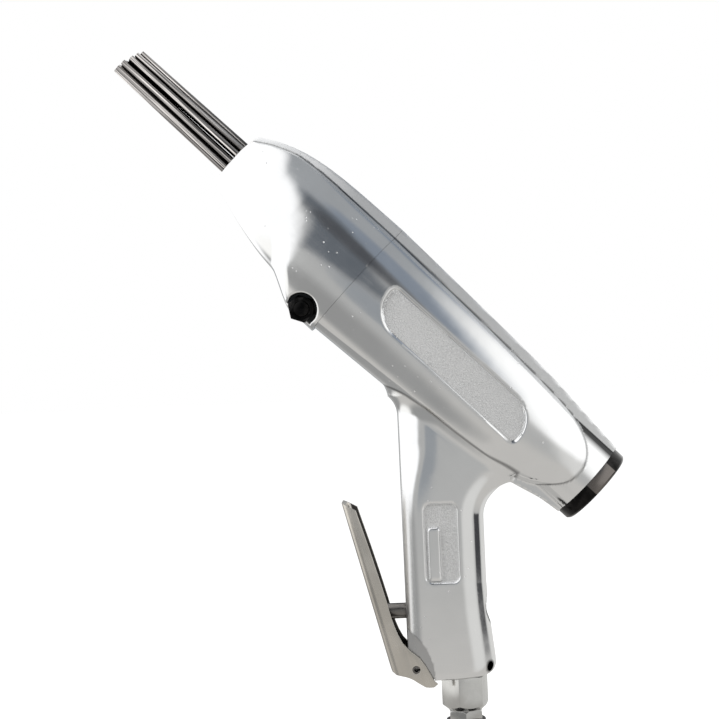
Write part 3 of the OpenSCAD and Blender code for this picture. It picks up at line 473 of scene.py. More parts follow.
def grip_edges():
    """Tables of the grip's front and rear edge over its height."""
    g = settings("scaler_grip")
    turn = math.pi / 2 - settings("scaler_barrel").rake

    def corner(z, r):
        return np.where(z >= r, 0, r - np.sqrt(np.maximum(0, r * r - (r - z) ** 2)))

    def back(z):
        return g.rear + g.flare * curve(np.clip(z / g.flare_h, 0, 1), FLARE_SHARES) - corner(z, g.corner)

    def fore(z):
        rise = np.clip(z - g.root_z, 0, g.root_r * math.sin(turn))
        root = g.front + g.root_r - np.sqrt(g.root_r ** 2 - rise ** 2)
        return np.where(z <= g.root_z, g.front - corner(z, g.edge), root)

    return tabled(fore, 0, GRIP_TABLE_TOP), tabled(back, 0, GRIP_TABLE_TOP)


class MainCasting:
    """Barrel and grip in one casting."""

    def __init__(self):
        b, g = settings("scaler_barrel"), settings("scaler_grip")
        self.b, self.g = b, g

        def along(shares, size):
            return tabled(lambda s: size * curve(s / b.length, shares), -TABLE_ROOM, b.length + TABLE_ROOM)

        self.width = along(WIDTH_MAIN_SHARES, b.half_w)
        self.top = along(TOP_MAIN_SHARES, b.top)
        self.bottom = along(BOTTOM_MAIN_SHARES, b.bottom)
        self.rib = along(RIB_MAIN_SHARES, b.rib_top)
        self.keel = along(KEEL_MAIN_SHARES, b.bottom)
        self.fore, self.back = grip_edges()
        outline = corner_outline(b.panel_len, b.panel_h, [part * b.panel_h for part in PANEL_CORNERS])
        self.panel = outline + np.array([b.panel_s, b.panel_mid_h - b.panel_h / 2])
        self.low = (0.0, -b.half_w, -GRIP_BELOW)
        self.high = (GRIP_BACK, b.half_w, b.rib_top)

    def grip(self, x, y, z, nudge=1e-4):
        """Distance to the grip, whose section rounds off towards its root, with the hollow behind it."""
        g = self.g
        middle = (g.rear - g.front) / 2
        rise = np.clip((z - g.power_z) / g.power_h, 0, 1)
        power = mix(g.low_power, g.power, rise * rise * (3 - 2 * rise))

        def along(px, pz):
            return ((np.maximum(middle - px, 0) + TINY) / (self.fore(pz) + middle)) ** power

        u = along(x, z)
        ux = (along(x + nudge, z) - along(x - nudge, z)) / (2 * nudge)
        uz = (along(x, z + nudge) - along(x, z - nudge)) / (2 * nudge)
        v = ((np.abs(y) + TINY) / g.half_w) ** power
        vy = power * v / (np.abs(y) + TINY)
        side = gauge_distance(u + v, np.sqrt(ux ** 2 + uz ** 2 + vy ** 2), power)
        apex_x = g.rear + g.notch_r
        side = overlap(side, x - apex_x, z - g.top_z)
        hollow = np.where(z > g.notch_z, g.notch_r - np.hypot(x - apex_x, z - g.notch_z), x - self.back(z))
        return smooth_max(smooth_max(side, hollow, g.rear_round), -z, g.edge)

    def recess(self, body, y, wall, floor):
        """Wall and floor of a recess that is sunk into the visible side."""
        b = self.b
        drawn = (wall - body * b.wall_slope) / math.hypot(1, b.wall_slope)
        return smooth_max(drawn, y - floor, b.rim)

    def panel_floor(self, s):
        """Place of the panel's floor, which is a little turned."""
        b = self.b
        return b.panel_depth - b.half_w + (s - b.panel_s) * math.tan(b.panel_turn)

    def plate_wall(self, x, z):
        """Distance to the plate's outline, without its raised field."""
        g = self.g
        outer = rounded_box(x + g.plate_x, z - g.plate_z, g.plate_w / 2, g.plate_h / 2, g.plate_round)
        field = rounded_box(x + g.field_x, z - g.field_z, g.field_w / 2, g.field_h / 2, g.field_round)
        return np.maximum(outer, -field)

    def pads(self, s, y, h):
        """Side pads, with a rounded end whose wall slopes down to the neck."""
        b = self.b
        pads = pad_distance(s, y, h, self.width, self.top, self.bottom, lambda at: b.power)
        ahead = np.maximum(b.end_s - s, 0) * END_OPENING
        half_h = np.where(h > 0, b.end_top, b.end_bottom) + ahead
        u, v = np.maximum(s - b.end_s, 0) / b.end_len, np.abs(h) / half_h
        end = gauge_distance(u * u + v * v, 2 * np.hypot(u / b.end_len, v / half_h), 2)
        wall = (pads + end * b.end_slope) / math.hypot(1, b.end_slope)
        return np.maximum(pads, wall)

    def forms(self, s, y, h):
        """Distances to the forms that the casting joins, and to its grip alone."""
        b, g = self.b, self.g
        pads = self.pads(s, y, h)
        rib = rib_distance(y, h, b.rib_half_w, self.rib(s), b.rib_round)
        keel = rib_distance(y, -h, b.rib_half_w, self.keel(s), b.rib_round)
        neck = np.maximum(np.hypot(y, h) - b.neck_r, b.neck_start - s)
        x, z = inlet_coordinates(s, h)
        grip = self.grip(x, y, z)
        under = np.minimum(pads, keel) + g.root_inset
        root = smooth_min(grip, np.maximum(under, s - b.length), g.root_blend)
        return (pads, rib, neck, keel, root), grip

    def distance(self, s, y, h):
        """Distance to the whole casting."""
        b, g = self.b, self.g
        (pads, rib, neck, keel, root), grip = self.forms(s, y, h)
        body = smooth_min(pads, rib, b.crease)
        body = smooth_min(body, neck, b.crease)
        body = smooth_min(body, keel, 2 * b.crease)
        body = np.maximum(body, s - b.length)
        x, z = inlet_coordinates(s, h)
        solid = np.maximum(smooth_min(body, root, b.crease), b.seam_gap - s)
        wall = outline_distance(s, h, self.panel)
        solid = smooth_max(solid, -self.recess(body, y, wall, self.panel_floor(s)), b.rim)
        plate = self.recess(grip, y, self.plate_wall(x, z), g.plate_depth - g.half_w)
        solid = smooth_max(solid, -plate, b.rim)
        return np.maximum(solid, -self.bores(s, y, h, x, z))

    def holes(self, x, y, z):
        """Distance to the bores of the valve, its pin, the lever's pin and the lock screw."""
        g = self.g
        up = z - g.valve_z
        valve = np.maximum(np.hypot(y, up) - g.valve_r, g.plug_x - x)
        pin = np.maximum(np.hypot(y, up) - g.pin_bore, x + g.pin_depth)
        pivot = np.hypot(x + g.pivot_x, z - g.pivot_z) - g.pivot_r
        c, d = math.cos(g.lock_turn), math.sin(g.lock_turn)
        out, side = x * c + y * d, y * c - x * d
        lock = np.maximum(np.hypot(side, z - g.lock_z) - g.lock_r, g.lock_in - out)
        return union(valve, pin, pivot, lock)

    def flats(self, x, y, z):
        """Distance to the flats that leave room for the lever's ears."""
        g = self.g
        return np.maximum(np.hypot(x + g.flat_x, z - g.flat_z) - g.flat_r, g.lug_half_t - np.abs(y))

    def bores(self, s, y, h, x, z):
        """Distance to all that is cut out."""
        b = self.b
        pocket = np.maximum(np.hypot(y, h) - b.pocket_r, s - b.pocket_depth)
        return union(pocket, self.flats(x, y, z), self.holes(x, y, z))

    def satin(self, s, y, h):
        """Where the polish is dull: the flanks of the spine rib, and the grip's front, which fingers rub."""
        g = self.g
        x, z = inlet_coordinates(s, h)
        wear_and_painted_sheen = np.clip((g.rub_z - z) / g.rub_fade, 0, 1) * np.clip((-x - g.rub_x) / g.rub_fade * 2, 0, 1)
        return np.maximum(rib_flank(self.pads(s, y, h), y, h, self.b.rib_half_w), wear_and_painted_sheen)

    def crevice(self, s, y, h):
        """Painted shade in the creases between the forms, the nook beside the rib, the bores' walls and the
        lever's flats.
        """
        b = self.b
        pads, rib, neck, _, root = self.forms(s, y, h)[0]
        x, z = inlet_coordinates(s, h)
        walls = np.clip(RIM_SHADE * (1 - np.abs(self.holes(x, y, z)) / b.bore_rim), 0, 1)
        bare_neck = (np.abs(neck) < b.crease) & (s > b.end_s) & (pads > b.crease)
        nook = np.clip(NOOK_SHADE * (1 - rib / b.nook), 0, DEEP_SHADE) * bare_neck
        ears = self.g.ear_shade * (np.abs(self.flats(x, y, z)) < b.crease)
        return np.max([crevice((pads, rib, neck, root)), walls, nook, ears], axis=0)

    def skin(self, s, y, h):
        """Where the casting keeps its rough skin: the floors of the two recesses."""
        g = self.g
        x, z = inlet_coordinates(s, h)
        panel = (outline_distance(s, h, self.panel) < -SKIN_RIM) & (y < self.panel_floor(s) + SKIN_RIM)
        plate = (self.plate_wall(x, z) < -SKIN_RIM / 2) & (y < g.plate_depth - g.half_w + SKIN_RIM)
        return (panel | plate).astype(float)


class NoseCasting:
    """Nose housing with its clamp lug."""

    def __init__(self):
        b, n = settings("scaler_barrel"), settings("scaler_nose")
        self.b, self.n = b, n

        def along(rule):
            return tabled(lambda s: rule(-s / n.length), -n.length - TABLE_ROOM, TABLE_ROOM)

        self.width = along(lambda u: mix(n.face_r, b.half_w, curve(u, WIDTH_NOSE_SHARES)))
        self.top = along(lambda u: mix(n.face_top, b.top, curve(u, TOP_NOSE_SHARES)))
        self.bottom = along(lambda u: mix(n.face_r, n.bottom, curve(u, BOTTOM_NOSE_SHARES)))
        self.rib = along(lambda u: mix(n.face_r, b.rib_top, curve(u, RIB_NOSE_SHARES)))
        self.rib_w = along(lambda u: b.rib_half_w * mix(n.rib_share, 1, curve(u, WIDTH_NOSE_SHARES)))
        self.power = along(lambda u: mix(2, b.power, curve(u, WIDTH_NOSE_SHARES)))
        self.low = (-n.length, -b.half_w, -b.bottom)
        self.high = (0.0, b.half_w, b.rib_top)

    def pads(self, s, y, h):
        """Side pads, with the clamp lug that grows out of them below along a slanted front."""
        b, n = self.b, self.n
        front = n.lug_len + n.lug_slant * (np.minimum(h, 0) + b.bottom)

        def deep(at):
            run = np.clip((-at - front) / n.lug_fillet, 0, 1)
            return self.bottom(at) + (b.bottom - n.bottom) * (1 - run) ** 2 * (1 + 2 * run)

        return pad_distance(s, y, h, self.width, self.top, deep, self.power)

    def distance(self, s, y, h):
        """Distance to the whole casting."""
        b, n = self.b, self.n
        pads = self.pads(s, y, h)
        rib = rib_distance(y, h, self.rib_w(s), self.rib(s), b.rib_round)
        solid = smooth_min(pads, rib, b.crease)
        solid = smooth_max(solid, -n.length - s, n.face_round)
        solid = np.maximum(solid, s + b.seam_gap)
        out = np.hypot(y, h)
        bush = np.maximum(out - n.bush_r, s + n.length - n.bush_depth)
        chamber = np.maximum(out - n.chamber_r, n.bush_depth - n.length - s)
        spigot = np.maximum(out - b.pocket_r, -n.spigot_len - s)
        slit = overlap(np.abs(y) - n.slit_half_w, h + n.slit_top, -n.slit_len - s)
        solid = np.maximum(solid, -union(bush, chamber, spigot, slit))
        return smooth_max(solid, -self.pocket(s, y, h), n.pocket_rim)

    def pocket(self, s, y, h):
        """Distance to the pockets of the clamp's nut and head, which are open below."""
        n = self.n
        run, drop = s + n.bolt_s, h + n.bolt_h
        wall = np.where(drop > 0, np.hypot(run, drop), np.abs(run)) - n.nut_r
        return np.maximum(wall, n.clamp_half_t - np.abs(y))

    def satin(self, s, y, h):
        """Where the polish is dull: the flanks of the rib."""
        return rib_flank(self.pads(s, y, h), y, h, self.rib_w(s))

    def crevice(self, s, y, h):
        """Painted shade in the creases beside the rib and on the walls of the nut's pocket."""
        b = self.b
        walls = DEEP_SHADE * np.clip(RIM_SHADE * (1 - np.abs(self.pocket(s, y, h)) / b.crease), 0, 1)
        rib = rib_distance(y, h, self.rib_w(s), self.rib(s), b.rib_round)
        return np.maximum(crevice((self.pads(s, y, h), rib)), walls)

    def skin(self, s, y, h):
        """The nose has no rough skin."""
        return np.zeros(np.broadcast(s, y, h).shape)


def gradient(rule, p, nudge=2e-5):
    """Slope of a distance rule at points."""
    slope = np.empty_like(p)
    for a in range(3):
        d = np.zeros(3)
        d[a] = nudge
        slope[:, a] = (rule(*(p + d).T) - rule(*(p - d).T)) / (2 * nudge)
    return slope


def crossings(rule, field, at, axis, start, step, rounds=4):
    """Places on the grid's edges along one axis where a distance rule is zero."""
    ahead = at.copy()
    ahead[:, axis] += 1
    f0, f1 = field[tuple(at.T)].astype(float), field[tuple(ahead.T)].astype(float)
    t0, t1 = np.zeros(len(at)), np.ones(len(at))
    for _ in range(rounds):
        t = np.clip(t0 + (t1 - t0) * f0 / (f0 - f1), 0, 1)
        p = start + at * step
        p[:, axis] += t * step
        f = rule(*p.T)
        same = (f < 0) == (f0 < 0)
        t0, f0 = np.where(same, t, t0), np.where(same, f, f0)
        t1, f1 = np.where(same, t1, t), np.where(same, f1, f)
    return p


def contour(rule, low, high, step, room=2.5):
    """Closed quad mesh where a distance rule is zero, with sharp edges kept and some steps of room."""
    axes = [np.arange(a - room * step, b + room * step + step, step) for a, b in zip(low, high)]
    field = np.broadcast_to(rule(*np.ix_(*(a.astype(np.float32) for a in axes))), [len(a) for a in axes])
    inside = field < 0
    start = np.array([a[0] for a in axes])
    cells = np.array(field.shape)
    points, normals, owners, flips = [], [], [], []
    for a in range(3):
        b, c = (a + 1) % 3, (a + 2) % 3
        first = np.take(inside, range(cells[a] - 1), a)
        at = np.argwhere(first != np.take(inside, range(1, cells[a]), a))
        p = crossings(rule, field, at, a, start, step)
        n = gradient(rule, p)
        points.append(p)
        normals.append(n / np.maximum(np.linalg.norm(n, axis=1, keepdims=True), TINY))
        ring = []
        for db, dc in ((-1, -1), (0, -1), (0, 0), (-1, 0)):
            cell = at.copy()
            cell[:, b] += db
            cell[:, c] += dc
            ring.append(np.ravel_multi_index(tuple(cell.T), cells))
        owners.append(np.stack(ring, 1))
        flips.append(~inside[tuple(at.T)])
    points, normals, owners, flip = (np.concatenate(x) for x in (points, normals, owners, flips))
    keys, index = np.unique(owners.ravel(), return_inverse=True)
    quads = index.reshape(-1, 4)
    quads[flip] = quads[flip][:, ::-1]
    return fitted_corners(points, normals, index, keys, cells, start, step), quads


def fitted_corners(points, normals, index, keys, cells, start, step, hold=0.08, over=0.2):
    """One corner for each cell, placed where the planes through its crossings meet.

    It is held to the middle of the crossings and may leave its cell by a share of the step.
    """
    count = len(keys)
    p, n = np.repeat(points, 4, 0), np.repeat(normals, 4, 0)

    def summed(values):
        return np.bincount(index, values, count)

    number = summed(np.ones(len(p)))
    middle = np.stack([summed(p[:, a]) for a in range(3)], 1) / number[:, None]
    local = np.einsum("ij,ij->i", n, p - middle[index])
    left = np.empty((count, 3, 3))
    right = np.empty((count, 3))
    for i in range(3):
        right[:, i] = summed(n[:, i] * local)
        for j in range(3):
            left[:, i, j] = summed(n[:, i] * n[:, j]) + (hold if i == j else 0)
    moved = middle + np.linalg.solve(left, right[:, :, None])[:, :, 0]
    corner = start + np.stack(np.unravel_index(keys, cells), 1) * step
    return np.clip(moved, corner - over * step, corner + (1 + over) * step)


def casting_piece(name, casting, step):
    """Mesh of a casting, with the masks of its finish and of its painted shade as attributes."""
    places, quads = contour(casting.distance, casting.low, casting.high, step)
    back, over, seam = barrel_axes()
    world = seam + places[:, :1] * back + places[:, 2:] * over
    world[:, 1] = places[:, 1]
    mesh = bpy.data.meshes.new(name)
    mesh.from_pydata(world, [], quads)
    mesh.update()
    for kind, mask in (("cast_skin", casting.skin), ("satin", casting.satin), ("crevice", casting.crevice)):
        mark(mesh, kind, mask(*places.T).astype(np.float32))
    piece = linked(name, mesh)
    smooth(piece, CASTING_CREASE)
    return piece


# Pieces

def linked(name, data):
    """An object in the scene."""
    piece = bpy.data.objects.new(name, data)
    bpy.context.collection.objects.link(piece)
    return piece


def new_piece(name, work):
    """An object that takes over a worked mesh."""
    mesh = bpy.data.meshes.new(name)
    work.to_mesh(mesh)
    work.free()
    return linked(name, mesh)


def mark(mesh, name, values, domain="POINT"):
    """Keeps a number for each point or face of a mesh."""
    mesh.attributes.new(name, "FLOAT", domain).data.foreach_set("value", values)


def smooth(piece, crease=CREASE):
    """Smooth shading, with edges kept sharp past a crease angle."""
    piece.data.polygons.foreach_set("use_smooth", np.ones(len(piece.data.polygons), bool))
    piece.data.set_sharp_from_angle(angle=math.radians(crease))


def is_bend(edge):
    """Whether an edge is a long outer corner between a sheet's web and its flange."""
    sides = [abs(face.normal.y) for face in edge.link_faces]
    long_corner = edge.is_convex and edge.calc_length() > BEND_LENGTH
    return long_corner and min(sides) < WEB_TURN and max(sides) > FLANGE_TURN


def merged_mesh(node):
    """A CAD node's mesh with its loose triangles joined."""
    work = bmesh.new()
    work.from_mesh(frame["nodes"][node].data)
    bmesh.ops.remove_doubles(work, verts=work.verts, dist=MERGE)
    return work


def bevelled_copy(name, node, bevel, bend):
    """Copy of a CAD node's mesh with its edges broken; sheet metal has round bends and painted shade inside.
    """
    work = merged_mesh(node)
    bmesh.ops.dissolve_limit(work, angle_limit=math.radians(FLAT_ANGLE), verts=work.verts, edges=work.edges)
    bmesh.ops.recalc_face_normals(work, faces=work.faces)
    weight = work.edges.layers.float.new("bevel_weight_edge")
    widest = max(bevel, bend)
    for edge in work.edges:
        if edge.is_manifold and edge.calc_face_angle() > math.radians(EDGE_ANGLE):
            edge[weight] = 1.0 if bend and is_bend(edge) else bevel / widest
    piece = new_piece(name, work)
    breaking = piece.modifiers.new("broken edges", "BEVEL")
    breaking.width = widest
    breaking.segments = BEND_SEGMENTS if bend else EDGE_SEGMENTS
    breaking.limit_method = "WEIGHT"
    smooth(plain_mesh(piece, name))
    if bend:
        # Painted shade on the inner faces of the sheet's channel
        faces = [(face.normal.y, face.center.y) for face in piece.data.polygons]
        inside = [float(turn * place < -FLANGE_TURN * abs(place)) for turn, place in faces]
        mark(piece.data, "crevice", inside, "FACE")
    return piece


def plain_mesh(piece, name):
    """Turns a piece and its modifiers into a plain mesh."""
    bpy.context.view_layer.update()
    graph = bpy.context.evaluated_depsgraph_get()
    made = bpy.data.meshes.new_from_object(piece.evaluated_get(graph), depsgraph=graph)
    made.name = name
    piece.modifiers.clear()
    piece.data = made
    return piece


def paint(piece, material):
    """Gives a piece its only material."""
    piece.data.materials.clear()
    piece.data.materials.append(material)


def dress(piece, body, material, slot, *nodes):
    """Gives a piece its finish and its body, and hides the nodes that it stands for."""
    paint(piece, material)
    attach(piece, body)
    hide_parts(*nodes)


# Shader nodes

# A colour mix's sockets by their place, because its other kinds share their names
MIX_A, MIX_B, MIX_RESULT = 6, 7, 2


def feed(tree, node, inputs):
    """Gives a node its inputs, each a value or another node's output."""
    for key, value in inputs.items():
        if isinstance(value, bpy.types.NodeSocket):
            tree.links.new(value, node.inputs[key])
        else:
            node.inputs[key].default_value = value


def add(tree, kind, inputs=None, **options):
    """A node with its options and its inputs."""
    made = tree.nodes.new(kind)
    for key, value in options.items():
        setattr(made, key, value)
    feed(tree, made, inputs or {})
    return made


def ramp(tree, value, low, high, to_low=0.0, to_high=1.0):
    """Smooth step of a value between two limits."""
    inputs = {"Value": value, "From Min": low, "From Max": high, "To Min": to_low, "To Max": to_high}
    return add(tree, "ShaderNodeMapRange", inputs, interpolation_type="SMOOTHSTEP").outputs["Result"]


def levels(tree, mask, low, high):
    """Stretches a mask from 0 and 1 to two other values."""
    return add(tree, "ShaderNodeMapRange", {"Value": mask, "To Min": low, "To Max": high}).outputs["Result"]


def maths(tree, operation, *values):
    """A calculation with numbers and other nodes' outputs."""
    return add(tree, "ShaderNodeMath", dict(enumerate(values)), operation=operation).outputs[0]


def product(tree, first, *others):
    """Masks multiplied in turn."""
    for other in others:
        first = maths(tree, "MULTIPLY", first, other)
    return first


def noise(tree, place, scale, detail, rough=0.5):
    """Cloudy noise."""
    inputs = {"Vector": place, "Scale": scale, "Detail": detail, "Roughness": rough}
    return add(tree, "ShaderNodeTexNoise", inputs).outputs["Fac"]


def attribute(tree, name):
    """A mask that the mesh carries."""
    return add(tree, "ShaderNodeAttribute", attribute_name=name).outputs["Fac"]


def turned_about_y(tree, place, turn):
    """Places in axes that are turned about Y."""
    return add(tree, "ShaderNodeMapping", {"Vector": place, "Rotation": (0.0, turn, 0.0)}).outputs["Vector"]


def reach_along(tree, place, direction):
    """How far places lie along a direction."""
    inputs = {0: place, 1: tuple(direction)}
    return add(tree, "ShaderNodeVectorMath", inputs, operation="DOT_PRODUCT").outputs["Value"]


def mixed(tree, factor, a, b):
    """A value between two others."""
    return add(tree, "ShaderNodeMix", {"Factor": factor, "A": a, "B": b}).outputs["Result"]


def rgba(tone):
    """A plain colour with its alpha; another node's output as it is."""
    return tone if isinstance(tone, bpy.types.NodeSocket) else (*tone, 1.0)


def mixed_colour(tree, factor, a, b):
    """A colour between two others."""
    inputs = {"Factor": factor, MIX_A: rgba(a), MIX_B: rgba(b)}
    return add(tree, "ShaderNodeMix", inputs, data_type="RGBA").outputs[MIX_RESULT]


def shade(tone, factor):
    """A colour made darker or lighter."""
    return tuple(min(1.0, c * factor) for c in tone)


def bump(tree, height, strength, distance, normal=None):
    """A normal that follows a height, over another normal if there is one."""
    inputs = {"Height": height, "Strength": strength, "Distance": distance}
    if normal is not None:
        inputs["Normal"] = normal
    return add(tree, "ShaderNodeBump", inputs).outputs["Normal"]


def shader_group(name, inputs, *outputs):
    """A node group with a place and other inputs, and values as outputs."""
    tree = bpy.data.node_groups.new(name, "ShaderNodeTree")
    tree.interface.new_socket("Vector", in_out="INPUT", socket_type="NodeSocketVector")
    for socket, value in inputs.items():
        kind = "NodeSocketVector" if isinstance(value, tuple) else "NodeSocketFloat"
        tree.interface.new_socket(socket, in_out="INPUT", socket_type=kind).default_value = value
    for socket in outputs:
        tree.interface.new_socket(socket, in_out="OUTPUT", socket_type="NodeSocketFloat")
    return tree, tree.nodes.new("NodeGroupInput").outputs, tree.nodes.new("NodeGroupOutput")


@cache
def streak_group():
    """Fine streaks drawn out along one axis, with a slow change under them."""
    inputs = {"Scale": 900.0, "Length": (0.03, 1.0, 1.0)}
    tree, given, sink = shader_group("streaks", inputs, "Streak", "Haze")
    drawn = add(tree, "ShaderNodeVectorMath", {0: given["Vector"], 1: given["Length"]}, operation="MULTIPLY")
    fine = noise(tree, drawn.outputs[0], given["Scale"], detail=3.0, rough=0.6)
    slow = noise(tree, given["Vector"], scale=38.0, detail=4.0, rough=0.55)
    feed(tree, sink, {"Streak": ramp(tree, fine, 0.35, 0.7), "Haze": ramp(tree, slow, 0.3, 0.72)})
    return tree


@cache
def wear_group():
    """Mask of the edges that hands and tools have worn."""
    tree, given, sink = shader_group("edge wear", {"Amount": 0.5}, "Mask")
    shape = tree.nodes.new("ShaderNodeNewGeometry")
    edges = ramp(tree, shape.outputs["Pointiness"], 0.51, 0.57)
    patch = ramp(tree, noise(tree, given["Vector"], scale=260.0, detail=4.0), 0.38, 0.62)
    feed(tree, sink, {"Mask": product(tree, edges, patch, given["Amount"])})
    return tree


@cache
def pit_group():
    """Sparse small pits, as a polished casting shows them."""
    tree, given, sink = shader_group("casting pits", {"Scale": 420.0, "Share": 0.06}, "Pit")
    inputs = {"Vector": given["Vector"], "Scale": given["Scale"]}
    spots = add(tree, "ShaderNodeTexVoronoi", inputs, feature="F1")
    chosen = add(tree, "ShaderNodeSeparateColor", {"Color": spots.outputs["Color"]})
    rare = maths(tree, "LESS_THAN", chosen.outputs["Red"], given["Share"])
    patch = ramp(tree, noise(tree, given["Vector"], scale=45.0, detail=2.0), 0.5, 0.62)
    dot = ramp(tree, spots.outputs["Distance"], 0.1, 0.24, to_low=1.0, to_high=0.0)
    feed(tree, sink, {"Pit": product(tree, dot, rare, patch)})
    return tree


def placed(tree, group, inputs):
    """Outputs of a shared group that is placed in a material."""
    return add(tree, "ShaderNodeGroup", inputs, node_tree=group).outputs


def bare_material(name):
    """A material with nothing but its output."""
    made = bpy.data.materials.new(name)
    made.use_nodes = True
    made.node_tree.nodes.clear()
    return made, made.node_tree, made.node_tree.nodes.new("ShaderNodeOutputMaterial").inputs["Surface"]


def blank_material(name):
    """A material with its shader, output and object coordinates."""
    made, tree, surface = bare_material(name)
    shader = tree.nodes.new("ShaderNodeBsdfPrincipled")
    tree.links.new(shader.outputs["BSDF"], surface)
    return made, tree, shader, tree.nodes.new("ShaderNodeTexCoord").outputs["Object"]


# Finishes

# Tones on the castings, as shares of their colour; the darkest one is painted shade
HAZE_TONE, PIT_TONE, SATIN_TONE, PAINTED_SHADE_TONE, GRAIN_TONE = 0.95, 1.25, 0.98, 0.03, 0.78
# How far the painted shade covers the polish
PAINTED_SHADE_COVER = 0.85
# Roughness of the polish without and with haze, what streaks and pits add, and dull places
POLISH, STREAK_ROUGH, PIT_ROUGH, SATIN_ROUGH, SKIN_ROUGH = (0.07, 0.14), 0.04, 0.4, 0.42, 0.46
SKIN_METALLIC = 0.45
# Tones on steel without and with haze and in its painted shade, and the roughness that its streaks add
STEEL_TONES, STEEL_PAINTED_SHADE, STEEL_STREAK_ROUGH = (0.82, 1.06), 0.12, 0.08
DUST_TONE = 1.9


def polished_casting():
    """Hand-polished aluminium with slight waves, haze, pits, rough skin in its recesses and painted shade in
    its creases and bores.
    """
    c = settings("scaler_finish")
    made, tree, shader, place = blank_material("polished_casting")
    turned = turned_about_y(tree, place, -settings("scaler_barrel").rake)
    skin, satin, painted_shade = (attribute(tree, name) for name in ("cast_skin", "satin", "crevice"))
    streaks = placed(tree, streak_group(), {"Vector": turned, "Scale": 1100.0, "Length": (0.05, 1.0, 1.0)})
    pit = placed(tree, pit_group(), {"Vector": place, "Scale": 460.0, "Share": 0.14})["Pit"]
    grain = noise(tree, place, scale=1500.0, detail=3.0, rough=0.7)
    waves = noise(tree, turned, scale=55.0, detail=2.0)
    tone = mixed_colour(tree, streaks["Haze"], shade(c.aluminium, HAZE_TONE), c.aluminium)
    tone = mixed_colour(tree, pit, tone, shade(c.aluminium, PIT_TONE))
    tone = mixed_colour(tree, satin, tone, shade(c.aluminium, SATIN_TONE))
    # Painted shade darkens the creases, the bores' walls, the nook beside the rib and the flats beside the
    # lever
    cover = maths(tree, "MULTIPLY", painted_shade, PAINTED_SHADE_COVER)
    tone = mixed_colour(tree, cover, tone, shade(c.aluminium, PAINTED_SHADE_TONE))
    sandy = mixed_colour(tree, ramp(tree, grain, 0.3, 0.7), shade(c.cast_skin, GRAIN_TONE), c.cast_skin)
    rough = levels(tree, streaks["Haze"], *POLISH)
    rough = maths(tree, "MULTIPLY_ADD", streaks["Streak"], STREAK_ROUGH, rough)
    rough = maths(tree, "MULTIPLY_ADD", pit, PIT_ROUGH, rough)
    rough = mixed(tree, satin, rough, SATIN_ROUGH)
    normal = bump(tree, waves, strength=0.07, distance=0.0012)
    normal = bump(tree, maths(tree, "MULTIPLY", pit, -1.0), strength=0.35, distance=0.0003, normal=normal)
    normal = bump(tree, maths(tree, "MULTIPLY", grain, skin), strength=0.9, distance=0.0006, normal=normal)
    feed(tree, shader, {
        "Base Color": mixed_colour(tree, skin, tone, sandy),
        "Metallic": mixed(tree, skin, 1.0, SKIN_METALLIC),
        "Roughness": mixed(tree, skin, rough, SKIN_ROUGH),
        "Normal": normal,
    })
    return made


class Metal(NamedTuple):
    """A metal finish."""

    name: str
    tone: tuple
    rough: tuple  # Without and with haze
    scale: float  # Of the streaks
    draw: tuple = (1.0, 1.0, 1.0)  # Shrinks the streaks' pattern along an axis, which draws them out
    turn: float = 0.0  # Of the streaks about Y
    lines: float = 0.35  # How much the streaks show
    bright: float = 1.2  # Their tone
    sharp: float = 1.0  # Narrows them
    relief: float = 0.12  # Their height
    wave: float = 0.0  # Slow waves of the surface
    wear: float = 0.0  # Of the edges
    worn: tuple = (0.55, 0.54, 0.53)


def steel(metal):
    """A metal with drawn streaks, haze, worn edges and painted shade where the mesh marks it."""
    made, tree, shader, place = blank_material(metal.name)
    turned = turned_about_y(tree, place, metal.turn)
    streaks = placed(tree, streak_group(), {"Vector": turned, "Scale": metal.scale, "Length": metal.draw})
    wear_and_painted_sheen = placed(tree, wear_group(), {"Vector": place, "Amount": metal.wear})["Mask"]
    tone = mixed_colour(tree, streaks["Haze"], *(shade(metal.tone, level) for level in STEEL_TONES))
    # Lighter streak lines; on the needles they are painted highlights
    narrow = maths(tree, "POWER", streaks["Streak"], metal.sharp)
    lines = maths(tree, "MULTIPLY", narrow, metal.lines)
    tone = mixed_colour(tree, lines, tone, shade(metal.tone, metal.bright))
    tone = mixed_colour(tree, wear_and_painted_sheen, tone, metal.worn)
    normal = bump(tree, streaks["Streak"], metal.relief, distance=0.00012)
    if metal.wave:
        slow = noise(tree, place, scale=90.0, detail=2.0)
        normal = bump(tree, slow, metal.wave, distance=0.0008, normal=normal)
    rough = levels(tree, streaks["Haze"], *metal.rough)
    # The colour darkens to painted shade where the mesh marks it: inside the lever's channel and on the inner
    # needles
    feed(tree, shader, {
        "Base Color": mixed_colour(tree, attribute(tree, "crevice"), tone, shade(metal.tone, STEEL_PAINTED_SHADE)),
        "Metallic": 1.0,
        "Roughness": maths(tree, "MULTIPLY_ADD", streaks["Streak"], STEEL_STREAK_ROUGH, rough),
        "Normal": normal,
    })
    return made


def painted_reflection_patch(made):
    """Adds a painted reflection to the cap: a brown band along its sides."""
    b = settings("scaler_barrel")
    tree = made.node_tree
    base = tree.nodes["Principled BSDF"].inputs["Base Color"]
    place = tree.nodes.new("ShaderNodeTexCoord").outputs["Object"]
    _, over, seam = barrel_axes()
    rise = maths(tree, "SUBTRACT", reach_along(tree, place, over), float(over @ seam))
    low, high = b.reflection_h - b.reflection_w / 2, b.reflection_h + b.reflection_w / 2
    above = ramp(tree, rise, low - b.reflection_fade, low + b.reflection_fade)
    below = ramp(tree, rise, high - b.reflection_fade, high + b.reflection_fade, to_low=1.0, to_high=0.0)
    patch = maths(tree, "MULTIPLY", above, below)
    wear_and_painted_sheen = settings("scaler_finish").cap_reflection
    tree.links.new(mixed_colour(tree, patch, base.links[0].from_socket, wear_and_painted_sheen), base)
    return made


